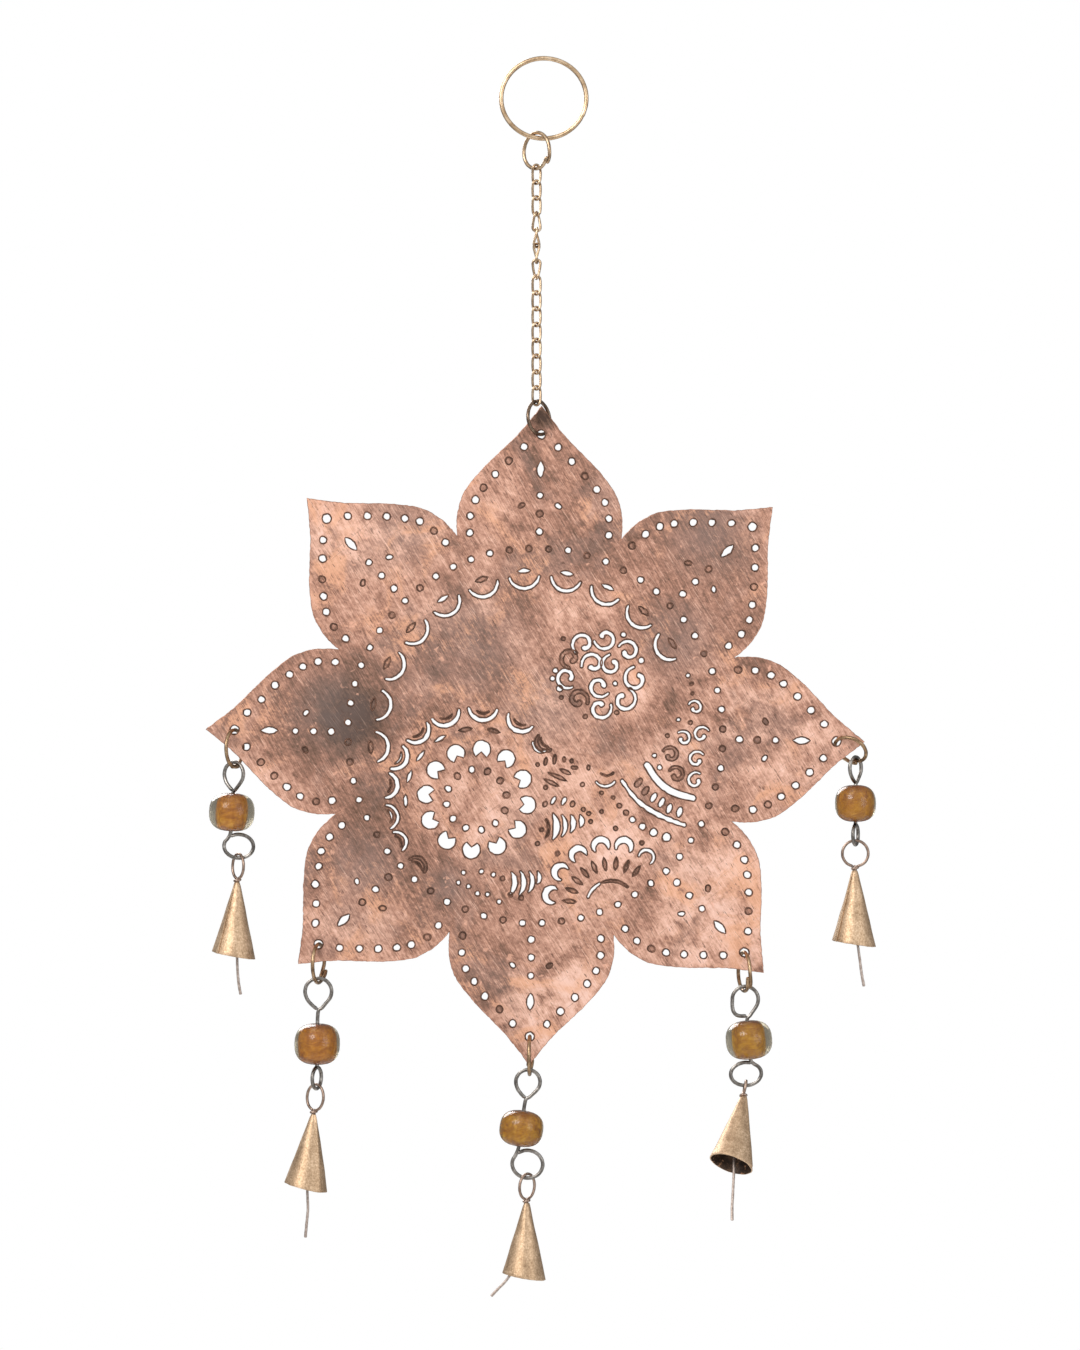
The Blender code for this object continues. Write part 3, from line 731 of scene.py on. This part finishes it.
def petal_holes(angle):
    def place(lateral, axial):
        return rotated((lateral, axial), angle - 90)

    eye = lens(place(0, 92.2), 3.0, 1.3, angle)
    holes = [(oval(place(0, TIP_HOLE_AT), 1.6, sides=22), True), (eye, True)]
    for axial, radius in ((83.2, 1.15), (76.9, 1.2), (70.7, 1.25)):
        holes.append((oval(place(0, axial), radius), noise.noise(Vector((axial, angle, 0))) > -0.05))
    for lateral in (-6.4, 6.4):
        holes.append((oval(place(lateral, 79.6), 0.85, 1.25, angle - 90 - lateral * 6), lateral > 0))
    side = [Vector((x, y, 0)) * PETAL_RADIUS for x, y in reversed(PETAL_SIDE)]
    for i in range(7):
        edge, direction = at_distance(side, 14.2 + 6.8 * i)
        inset = edge + Vector((direction.y, -direction.x, 0)) * 4.3
        for mirrored in (-1, 1):
            wander = noise.noise(Vector((i * 3.7, mirrored * 5.1, angle)))
            spot = place(mirrored * inset.x + 0.5 * wander, inset.y + 0.4 * wander)
            radius = 1.26 + 0.16 * wander
            holes.append((oval(spot, radius, radius * 1.06, angle), wander > -0.22))
    return holes


def ring_of_dots():
    """The dotted circle that the petals stand on."""
    holes = []
    for i in range(60):
        wander = noise.noise(Vector((i * 2.3, 0.7, 0)))
        holes.append((oval(polar(65.0 + 0.5 * wander, 6 * i + 2), 1.14 + 0.14 * wander), wander > -0.12))
    return holes


def arch():
    """The arch of smiles over the middle, each with an eye above it."""
    holes = []
    for i in range(11):
        angle = 34 + 15 * i
        holes.append((smile(polar(52.6, angle), angle, 10.2, 1.5), True))
        holes.append((lens(polar(57.2, angle), 2.4, 0.85, angle + 90), i in (2, 3, 4, 6)))
    return holes


def sun():
    holes = []
    for i in range(12):
        angle = 84 + 30 * i
        holes.append((notched(polar(17.5, angle, SUN), 3.15, angle + 180), True))
        holes.append((oval(polar(10.5, angle + 15, SUN), 1.1, 1.25, angle), i in (0, 2, 3, 4, 5, 6, 7)))
    rays = (
        (40, 6.4), (61, 9.4), (86, 9.8), (110, 9.8), (131, 9.2),
        (152, 8.8), (171, 8.6), (191, 8.2), (208, 7.0), (228, 6.6),
    )
    for angle, size in rays:
        wide = 1.75 if size > 8.4 else 1.3
        holes.append((smile(polar(29.0, angle, SUN), angle, size, wide, 76), size > 6.7))
        brow = arc_path(polar(33.4, angle, SUN), 3.4, angle + 142, angle + 218, 8)
        holes.append((slit(brow, 0.4, 0.75), angle in (152, 191)))
    for angle in (76, 99, 121, 142, 161, 181):
        holes.append((lens(polar(24.6, angle, SUN), 2.4, 0.72, angle + 90), angle > 99))
    return holes


def rosette():
    outer = (
        (84, 3.3, -1), (40, 3.1, 1), (-9, 3.6, -1), (-49, 3.5, 1), (-92, 3.3, 1), (-132, 2.9, -1),
        (-173, 3.2, 1), (154, 2.9, 1), (122, 3.3, 1),
    )
    inner = ((132, 3.4, 1), (42, 3.1, -1), (-99, 3.4, 1))
    holes = []
    for angle, size, hand in outer:
        holes.append((comma(polar(12.1, angle, ROSETTE), size * 1.18, angle + 110, hand), size > 2.9))
    for angle, size, hand in inner:
        holes.append((comma(polar(4.6, angle, ROSETTE), size * 1.12, angle + 60, hand), True))
    spots = (
        (9.7, 33.6, 0.7), (30.5, 35.0, 0.95), (36.7, 26.0, 1.1), (6.9, 22.5, 1.0), (5.9, 19.8, 0.9),
        (8.3, 16.3, 1.1), (9.0, 13.2, 0.7), (17.3, 6.6, 0.8), (28.1, 8.0, 0.8), (27.6, 18.0, 0.85),
    )
    return [*holes, *dots(spots, 0.84)]


def paisley():
    curls = (
        (55.4, 9.7, 2.5, 150), (57.5, 0.3, 2.9, 30), (51.3, -1.0, 2.6, 130), (46.8, -6.6, 2.8, 150),
        (55.8, -8.3, 2.9, 40), (48.9, -13.5, 2.8, 150), (55.4, -15.6, 2.9, 60),
    )
    holes = []
    for x, y, size, angle in curls:
        hand = -1 if angle < 100 else 1
        holes.append((comma((x, y), size, angle, hand, 1.25, 340), angle != 150 or y > 5))
    spots = (
        (52.8, 20.8, 0.75), (54.1, 18.0, 0.65), (54.4, 14.6, 0.6), (53.7, 4.5, 0.7), (49.5, 5.5, 0.75),
        (45.7, 0.0, 0.7), (41.2, -6.9, 0.85), (43.0, -11.1, 0.9),
    )
    return [*holes, *dots(spots, 0.72)]


def leaf_slits():
    """The two long slits, the ovals between them and the dots that grow below them."""

    def curve(*points):
        return [(p.x, p.y) for p in smooth_path([Vector((x, y, 0)) for x, y in points], 6)]

    upper = curve((38.6, -10.2), (43.0, -16.3), (48.2, -19.8), (54.6, -21.7))
    lower = curve((30.0, -15.7), (35.0, -22.2), (40.9, -26.5), (46.8, -29.3), (51.6, -31.0))
    count = len(lower)
    widths = [1.1 + 0.75 * sin(pi * i / count) ** 0.7 + 0.25 * sin(1.9 * i) for i in range(count)]
    holes = [(slit(upper, 2.2, 2.7, 0.6), True), (stroke(lower, widths), True)]
    between = ((35.7, -16.3), (38.1, -19.1), (40.9, -21.5), (43.7, -23.2), (46.4, -25.3), (49.9, -26.5))
    for i, spot in enumerate(between):
        holes.append((oval(spot, 1.0, 1.85, 52 + 4 * i, 14), i > 1))
    below = (
        (27.0, -21.5), (29.1, -24.3), (31.4, -26.7), (33.6, -29.1),
        (37.1, -31.5), (40.9, -33.6), (45.4, -35.2),
    )
    return [*holes, *((oval(spot, 0.65 + 0.15 * i), i > 2) for i, spot in enumerate(below))]


def half_sun():
    holes = []
    for angle in (170, 146.5, 123, 100, 78, 54):
        path = arc_path(polar(20.6, angle, HALF_SUN), 2.6, angle - 112, angle + 112, 14)
        holes.append((slit(path, 0.8, 1.4 if angle == 54 else 2.5, 0.8), True))
    for angle in range(174, 53, -15):
        holes.append((lens(polar(14.6, angle, HALF_SUN), 2.4, 0.72, angle), False))
    holes.append((slit(arc_path(HALF_SUN, 8.6, 160, 118, 8), 0.9, 1.35), True))
    holes.append((slit(arc_path(HALF_SUN, 8.6, 110, 50, 10), 0.7, 1.1), False))
    spots = (
        (27.7, -32.2, 0.8), (36.9, -37.1, 0.8), (22.9, -26.3, 0.7), (19.1, -29.8, 0.7), (7.6, -40.9, 0.85),
        (0.7, -37.4, 0.8),
    )
    return [*holes, *dots(spots, 1)]


def slot_groups():
    """The small groups of slots between the sun and the half sun."""
    ticks = (
        (3.5, -9.0, 1.5, 80), (6.6, -8.3, 1.7, 84), (9.9, -8.3, 1.0, 90), (12.5, -8.7, 0.8, 90),
        (13.5, -11.1, 1.2, 175), (18.4, -11.1, 0.9, 90), (0.7, -10.0, 0.7, 90),
    )
    eyes = ((10.4, -12.5, 2.2), (7.6, -14.2, 3.7), (5.5, -16.3, 3.0))
    holes = [(oval((x, y), 0.62, long, angle, 12), False) for x, y, long, angle in ticks]
    holes += [(lens((x, y), long, 0.66, -25), False) for x, y, long in eyes]
    holes.append((smile((24.3, -16.6), 92, 6.2, 1.15, 55), True))
    holes.append((smile((24.8, -13.0), 92, 4.2, 0.6, 45), False))
    holes.append((smile((0.9, -4.4), 55, 5.2, 1.0, 60), True))
    spots = ((3.5, -18.0), (16.3, -17.0), (22.9, -19.8), (2.1, -32.6), (18.4, -27.0), (16.6, -25.6))
    holes += dots([(*spot, 0.72) for spot in spots], 1)
    for x, y, long in ((3.3, -23.7, 1.1), (6.2, -22.5, 1.6), (9.9, -22.7, 1.6), (12.8, -23.7, 1.1)):
        holes.append((oval((x, y), 0.75, long, 62, 12), long > 1.1))
    upright = (
        (4.3, -32.2, 3.2, 0.9), (6.9, -31.5, 4.6, 2.6), (10.0, -31.2, 3.8, 1.7), (12.9, -30.5, 3.1, 2.1),
        (15.9, -29.6, 2.1, 2.0),
    )
    for x, y, tall, wide in upright:
        holes.append((slit(arc_path((x - tall * 1.6, y), tall * 1.7, -34, 34, 8), 0.6, wide), wide > 1))
    row = ((-7.6, -50.2, 4.2), (-4.4, -50.2, 4.4), (-1.4, -49.9, 3.9), (1.2, -48.5, 2.2))
    for i, (x, y, tall) in enumerate(row):
        path = arc_path((x - tall * 1.4, y - 0.6), tall * 1.5, -40, 34, 8)
        holes.append((slit(path, 0.6, 2.1 - 0.15 * i), True))
    last = (
        (-8.7, -55.1), (-4.9, -56.1), (-12.6, -57.5), (-16.6, -55.1), (-20.1, -54.7), (-23.2, -52.3),
        (-26.7, -50.9), (-24.9, -47.5), (-18.7, -47.1), (-14.6, -48.2), (-11.4, -49.5),
    )
    return [*holes, *((oval(spot, 0.85, sides=14), spot[0] < -12) for spot in last)]


def all_holes():
    """Every hole, roughened by its place in the list, so the order counts."""
    holes = [*ring_of_dots(), *arch(), *sun(), *rosette(), *paisley(), *leaf_slits(), *half_sun()]
    holes += slot_groups()
    for angle in petal_angles():
        holes += petal_holes(angle)
    return [(rough_outline(points, 0.16, k * 1.7), through) for k, (points, through) in enumerate(holes)]


def warp(x, z):
    """How far the sheet stands out of its plane, in mm. It is flat where the rings go through."""
    calm = 1 - min(1, max(0, (math.hypot(x, z) - 84) / 16)) ** 2
    broad = noise.noise(Vector((x * 0.021, z * 0.021, 4.0)))
    return calm * (0.42 * broad + 0.14 * noise.noise(Vector((x * 0.07, z * 0.07, 9.0))))


def on_sheet(x, depth, z):
    return FLOWER_AT + Vector((x, depth + warp(x, z), z)) * MM


def inside(points, outline):
    """Which of the points lie inside a closed outline."""
    found = np.zeros(len(points), bool)
    for (x1, y1), (x2, y2) in zip(outline, np.roll(outline, -1, axis=0)):
        if y1 != y2:
            crosses = (points[:, 1] > y1) != (points[:, 1] > y2)
            found ^= crosses & (points[:, 0] < x1 + (points[:, 1] - y1) * (x2 - x1) / (y2 - y1))
    return found


def cut_sheet(name, outlines, front, back):
    """The warped sheet with the first outline as its edge and the others as holes, all in mm."""
    flat = [Vector(point) for outline in outlines for point in outline]
    edges = []
    for outline in outlines:
        first = len(edges)
        edges += [(first + i, first + (i + 1) % len(outline)) for i in range(len(outline))]
    grid = range(-30, 31)
    flat += [Vector((i * 4 + 0.37, j * 4 + 0.53)) for i in grid for j in grid]
    points, _, triangles = delaunay_2d_cdt(flat, edges, [], 0, 0.0005, False)[:3]
    places = np.array([tuple(point) for point in points])
    middles = places[np.array(triangles)].mean(1)
    kept = inside(middles, np.array(outlines[0]))
    for outline in outlines[1:]:
        hole = np.array(outline)
        near = np.where(((middles > hole.min(0)) & (middles < hole.max(0))).all(1))[0]
        if len(near):
            kept[near[inside(middles[near], hole)]] = False
    triangles = [triangle for triangle, keep in zip(triangles, kept) if keep]
    used = sorted({i for triangle in triangles for i in triangle})
    number = {old: new for new, old in enumerate(used)}
    count = len(used)
    vertices = [on_sheet(places[i][0], depth, places[i][1]) for depth in (front, back) for i in used]
    faces = []
    border = {}
    for triangle in triangles:
        a, b, c = (number[i] for i in triangle)
        faces += [(a, b, c), (a + count, c + count, b + count)]
        border.update({(a, b): True, (b, c): True, (c, a): True})
    faces += [(b, a, a + count, b + count) for a, b in border if (b, a) not in border]
    return mesh_object(name, vertices, faces)


def rims(name, outlines, depth, size, rough):
    """A raised burr along each outline, as one object."""
    burrs = []
    for outline in outlines:
        path = [on_sheet(x, -depth, z) for x, z in outline]
        burrs.append(sweep("burr", path, size, 5, closed=True, flat=Vector((0, -1, 0)), rough=rough))
    return joined(name, *burrs)


def build_flower(looks):
    """A front layer with every hole, and a back layer with only those that go through."""
    holes = all_holes()
    outline = rough_outline(flower_outline(), 0.20, 0.3)
    half = SHEET / 2
    pierced = [points for points, _ in holes]
    through = [points for points, goes in holes if goes]
    layers = (
        ("flower_front", pierced, -half, 0, looks["front"], ["flower_plate"]),
        ("flower_back", through, 0.004, half, looks["back"], []),
    )
    for name, cuts, front, back, look, nodes in layers:
        sheet = cut_sheet(name, [outline, *cuts], front, back)
        sheet.data.set_sharp_from_angle(angle=radians(35))
        finish_piece(sheet, name, "flower_plate", "patinated_copper", look, *nodes)
    burrs = rims("flower_burrs", pierced, half - 0.01, (0.11 * MM, 0.28 * MM), 0.55)
    finish_piece(burrs, "flower_burrs", "flower_plate", "patinated_copper", looks["burr"])
    edge = rims("flower_edge", [outline], half - 0.10, 0.16 * MM, 0.35)
    finish_piece(edge, "flower_edge", "flower_plate", "patinated_copper", looks["edge"])


# ---- pendants


def eye_pin_path(p):
    """The pin's wire: an open loop above the bead, a stem through it and an open loop below."""
    upper, yaw = p["upper"], p["upper_yaw"]
    centre = Vector((0, 0, -upper))
    across = sideways(yaw)
    end, first = UPPER_ENDS[p["upper_end"]]
    points = [centre + (across * x + UP * z) * upper for x, z in end]
    points += arc_points(centre, (upper, upper), first, -38, 11, yaw)
    bottom = -p["drop"] - p["bead_half"]
    points += [centre + across * upper * 0.3 - UP * upper * 1.22, centre - UP * upper * 1.62]
    points += [UP * -p["drop"], UP * bottom]
    wide, tall = p["lower_wide"], p["lower"]
    low = sideways(p["lower_yaw"]) * p["shift"] + UP * (bottom - GAP - PIN_WIRE - tall)
    side = 1 if p["shift"] >= 0 else -1
    first = math.degrees(math.acos(-p["shift"] / wide)) + side * 12
    last = first + side * (360 - math.degrees((2 * PIN_WIRE + 0.2 * MM) / wide))
    return [*points, *arc_points(low, (wide, tall), first, last, 15, p["lower_yaw"])]


def bell_wire_path(p):
    """The bell's wire: an open loop above the bell, a stem through its apex and an open eye inside."""
    wide, tall = p["bell_loop"]
    centre = UP * -tall
    first = 270 - math.degrees(math.asin((2 * BELL_WIRE + 0.1 * MM) / wide))
    points = arc_points(centre, (wide, tall), first, -76, 14, p["bell_yaw"])
    eye = UP * (EYE_ABOVE_MOUTH + EYE_RADIUS - BELL_HEIGHT - p["bell_drop"])
    points += [centre - UP * (tall + BELL_NECK), UP * (-p["bell_drop"] - 0.004), eye + UP * EYE_RADIUS * 1.7]
    return points + arc_points(eye, (EYE_RADIUS, EYE_RADIUS), 50, -205, 9, 90)


def clapper_paths(p):
    """The clapper's hook, and its strip, which widens a little and is slightly bowed."""
    centre = UP * (BELL_WIRE + CLAPPER_WIRE + GAP - CLAPPER_LOOP)
    hook = arc_points(centre, (CLAPPER_LOOP, CLAPPER_LOOP), 200, -50, 9, 0)
    reach = EYE_ABOVE_MOUTH / cos(radians(p["clapper_lean"])) + p["clapper_out"]
    bow = p["clapper_bow"]
    strip = [UP * (-CLAPPER_LOOP * 1.9)]
    for out, share in ((0.0001, 0.35), (0.0002 + bow, 0.6), (bow * 0.7, 0.82), (0, 1)):
        strip.append(Vector((out, 0, -reach * share)))
    return [*hook, centre - UP * CLAPPER_LOOP * 1.5], strip


def twisted_end(place, axis):
    """A short curl of wire that is wound round another."""
    side = axis.orthogonal().normalized() * BELL_WIRE * 1.9
    other = axis.cross(side)
    path = []
    for t in (i / 19 for i in range(20)):
        angle = 0.4 + 2.2 * pi * t
        path.append(place + side * cos(angle) + other * sin(angle) + axis * (t - 0.5) * 0.0011)
    return path


def bead_mesh(half_wide, half_tall, hole, seed, scale=1.0, steps=14, around=40):
    """A hand-made barrel bead: softly flattened ends, a straight hole and a slightly uneven girth."""
    rows = []
    for i in range(steps + 1):
        t = pi * (0.06 + 0.88 * i / steps)
        height = half_tall * math.copysign(abs(cos(t)) ** 0.8, cos(t))
        rows.append((hole + (half_wide * sin(t) ** 0.72 - hole) * scale, height))
    top, bottom = rows[0][1], rows[-1][1]
    rows = [(hole, top - 0.1 * MM), (hole * 1.15, top), *rows]
    rows += [(hole * 1.15, bottom), (hole, bottom + 0.1 * MM)]
    vertices = []
    for radius, height in rows:
        for j in range(around):
            angle = 2 * pi * j / around
            x, y = cos(angle), sin(angle)
            spot = Vector((x, y, height * 90)) * 1.1 + Vector((seed, 0, 0))
            uneven = 1 + 0.02 * noise.noise(spot) if radius > hole * 1.5 else 1
            vertices.append((radius * uneven * x, radius * uneven * y, height))
    return mesh_object("bead", vertices, tube_faces(len(rows), around))


def bell_mesh(seam, seed):
    """A cone rolled from sheet brass: one edge laps over the other, and the mouth is cut a little askew."""
    lap = 16
    turns = 84
    rows = 22
    vertices = []
    for t in (i / rows for i in range(rows + 1)):
        for angle in ((360 + lap) * j / turns for j in range(turns + 1)):
            over = max(0.0, (angle - 345) / (15 + lap))
            over = over * over * (3 - 2 * over)
            world = radians(angle + seam)
            x, y = cos(world), sin(world)
            radius = BELL_APEX + (BELL_MOUTH - BELL_APEX) * t
            if t < 0.06:
                radius -= 0.14 * MM * (1 - t / 0.06) ** 2
            radius += BELL_WALL * 1.15 * over
            radius += 0.16 * MM * noise.noise(Vector((x * 1.4, y * 1.4, t * 4 + seed))) * min(1, t * 3)
            askew = -math.tan(radians(MOUTH_CUT)) * x * BELL_MOUTH
            edge = 0.14 * MM * noise.noise(Vector((angle * 0.06, seed, 2.0))) * t**8
            vertices.append((radius * x, radius * y, askew * t**3 - BELL_HEIGHT * t + edge))
    faces = []
    for i in range(rows):
        for a in range(i * (turns + 1), i * (turns + 1) + turns):
            faces.append((a, a + 1, a + turns + 2, a + turns + 1))
    obj = mesh_object("bell", vertices, faces)
    outward = sum(face.normal.dot(Vector((*face.center.xy, 0))) for face in obj.data.polygons)
    if outward < 0:
        obj.data.flip_normals()
    put(obj.modifiers.new("wall", "SOLIDIFY"), thickness=BELL_WALL, offset=-1, material_offset=1)
    put(obj.modifiers.new("soft_edges", "BEVEL"), width=0.09 * MM, segments=2, angle_limit=radians(50))
    return obj


def build_pendant(p, looks):
    name = p["name"]
    tilt = turn(-p["bell_lean"], "Y") @ turn(p["bell_pitch"], "X")
    seed = p["petal"] * 0.1

    def at_joint(part, *turns):
        world = shift(JOINT_AT[f"{name}_{part}_swing"])
        for other in turns:
            world = world @ other
        return world

    def wire(world, points, size, steps, *sides, **more):
        return sweep("wire", smooth_path([world @ point for point in points], steps), size, *sides, **more)

    def finish(obj, piece, body, slot, look, *parts):
        nodes = [f"{name}_{part}" for part in parts]
        finish_piece(obj, f"{name}_{piece}", f"{name}_{body}", slot, look, *nodes)

    jump_ring(f"{name}_hang_ring", looks["ring"], RING_WIRE, p["split"], p["lap"])

    world = at_joint("eye_pin", turn(-p["pin_lean"], "Y"))
    pin = wire(world, eye_pin_path(p), PIN_WIRE, 5, 16, rough=0.07)
    finish(pin, "eye_pin_wire", "eye_pin", "dark_steel", looks["pin"], "eye_pin")

    world = world @ shift((0, 0, -p["drop"]))
    shell = bead_mesh(p["bead"], p["bead_half"], BEAD_HOLE, seed)
    shell.data.transform(world)
    finish(shell, "bead_glass", "bead", "amber_glass", looks["shell"], "bead")
    hole = BEAD_HOLE + 0.12 * MM
    core = bead_mesh(p["bead"], p["bead_half"] - 0.35 * MM, hole, seed + 3, p["core"], 12, 32)
    core.data.transform(world)
    amber = amber_look(f"{name}_amber_glass", world.translation, p["bead_half"], p["hue"])
    finish(core, "bead_core", "bead", "amber_glass", amber)

    world = at_joint("bell", tilt)
    loop = wire(world, bell_wire_path(p), BELL_WIRE, 5, 14, rough=0.08)
    neck = world @ Vector((0, 0, -2 * p["bell_loop"][1] - 0.55 * MM))
    curl = sweep("curl", twisted_end(neck, (world.to_3x3() @ UP).normalized()), BELL_WIRE * 0.92, 12)
    finish(joined("wires", loop, curl), "bell_wire", "bell", "antique_brass", looks["loop"], "bell_loop")

    bell = bell_mesh(p["seam"], seed)
    bell.data.transform(world @ shift((0, 0, -p["bell_drop"])))
    finish(bell, "bell_cone", "bell", "brushed_brass", looks["bell"], "bell")
    # its inner wall gets the painted shade and painted glints
    bell.data.materials.append(looks["inside"])

    world = at_joint("clapper", tilt, turn(-p["clapper_lean"], "Y"))
    hook_points, strip_points = clapper_paths(p)
    hook = wire(world, hook_points, CLAPPER_WIRE * 0.9, 4, 12)
    flat = world.to_3x3() @ Vector((1, 0, 0))
    strip = wire(world, strip_points, CLAPPER_STRIP, 9, flat=flat, rough=0.12, taper=1.18)
    clapper = joined("clapper", hook, strip)
    finish(clapper, "clapper_strip", "clapper", "clapper_steel", looks["strip"], "clapper")


# ---- studio


def area_light(name, place, size, power, colour=(1, 1, 1)):
    """A round light that shines on the middle of the chime."""
    light = put(bpy.data.lights.new(name, "AREA"), shape="DISK", size=size, energy=power, color=colour)
    aim = (Vector((0, 0, -0.21)) - Vector(place)).to_track_quat("-Z", "Y").to_euler()
    obj = put(bpy.data.objects.new(name, light), location=place, rotation_euler=aim)
    bpy.context.scene.collection.objects.link(obj)
    return obj


def build_world():
    """White to the camera, and a grey room to everything else."""
    world = bpy.data.worlds.new("studio")
    bpy.context.scene.world = world
    world.use_nodes = True
    world.node_tree.nodes.clear()
    room = Nodes(world.node_tree)
    place = room.node("SeparateXYZ", {0: room.node("TexCoord", {}, "Generated")}).node.outputs
    grey = room.ramp(room.remap(place["Z"], -1, 1), (0.0, (0.42, 0.42, 0.43)), (1.0, (0.92, 0.92, 0.92)))
    # the room is darker behind the chime, which gives the wires, bells and glass their dark edges
    strength = room.remap(place["Y"], -0.2, 0.55, 1.07, 0.36)
    lit = room.node("Background", {"Color": grey, "Strength": strength})
    seen = room.node("Background", {"Color": (1, 1, 1)})
    mixed = room.node("MixShader", {0: room.node("LightPath", {}, "Is Camera Ray"), 1: lit, 2: seen})
    room.node("OutputWorld", {"Surface": mixed})


def build_studio():
    scene = bpy.context.scene
    scene.view_settings.view_transform = "Standard"
    build_world()
    area_light("key", (-0.75, -1.15, 0.55), 0.9, 15, (1.0, 0.985, 0.965))
    area_light("fill", (0.95, -0.9, -0.1), 0.8, 3.5, (0.96, 0.98, 1.0))
    back = area_light("back", (-0.6, 1.2, 0.5), 1.0, 18)
    back.visible_transmission = False  # or it glints through the beads

    bpy.ops.mesh.primitive_plane_add(size=1.3, location=(0, 0, FLOOR_AT))
    floor = bpy.context.object
    floor.name = "floor"
    look = Look("pale_floor")
    tone = look.ramp(look.noise(6, 3), (0.3, (0.78, 0.775, 0.765)), (0.7, (0.84, 0.835, 0.825)))
    floor.data.materials.append(look.finish(None, 0, 0, Base_Color=tone, Roughness=0.7))

    camera = put(bpy.data.cameras.new("camera"), lens=LENS, sensor_width=SENSOR)
    camera.dof.use_dof = False
    place = (CAMERA_AT[0], -FRAME_HEIGHT * LENS / SENSOR, CAMERA_AT[1])
    obj = put(bpy.data.objects.new("camera", camera), location=place, rotation_euler=(radians(90), 0, 0))
    scene.collection.objects.link(obj)
    scene.camera = obj


def main():
    build_studio()
    wires = dict(
        brass=("polished_brass_wire", (0.31, 0.19, 0.105), (0.61, 0.435, 0.27), (0.84, 0.69, 0.52), 0.3),
        antique=("antique_brass_wire", (0.18, 0.11, 0.065), (0.5, 0.355, 0.225), (0.8, 0.65, 0.47), 0.3),
        dark=("dark_antique_wire", (0.05, 0.035, 0.026), (0.17, 0.115, 0.08), (0.42, 0.32, 0.23), 0.36),
        ring=("worn_ring_wire", (0.11, 0.065, 0.04), (0.33, 0.215, 0.125), (0.6, 0.45, 0.28), 0.34),
        pin=("dark_steel_wire", (0.07, 0.062, 0.056), (0.23, 0.21, 0.19), (0.52, 0.49, 0.455), 0.32),
        loop=("brown_brass_wire", (0.12, 0.08, 0.06), (0.33, 0.235, 0.185), (0.56, 0.43, 0.34), 0.38),
        strip=("tarnished_strip", (0.2, 0.15, 0.125), (0.44, 0.36, 0.315), (0.7, 0.62, 0.56), 0.46),
        burr=("dark_burr", (0.045, 0.022, 0.014), (0.115, 0.056, 0.036), (0.33, 0.16, 0.105), 0.46),
        edge=("worn_copper_edge", (0.15, 0.075, 0.05), (0.43, 0.22, 0.15), (0.82, 0.48, 0.35), 0.38),
    )
    # how metallic and how fine-grained the ones that are not plain wire are
    worn = dict(strip=(0.85, 900), burr=(0.6, 300), edge=(0.8, 260))
    looks = {key: wire_look(*values, *worn.get(key, (1.0, 420))) for key, values in wires.items()}
    looks.update(bell=bell_look(), inside=bell_inside_look(), shell=shell_look())
    looks["front"] = copper_look("brushed_copper", SPOTS, GREY, 0.005)
    looks["back"] = copper_look("brown_copper", SPOTS[:5], GREY[3:], -0.05)
    build_hanging(looks)
    build_flower(looks)
    for values in zip(*PENDANTS.values()):
        build_pendant(dict(zip(PENDANTS, values)), looks)


main()
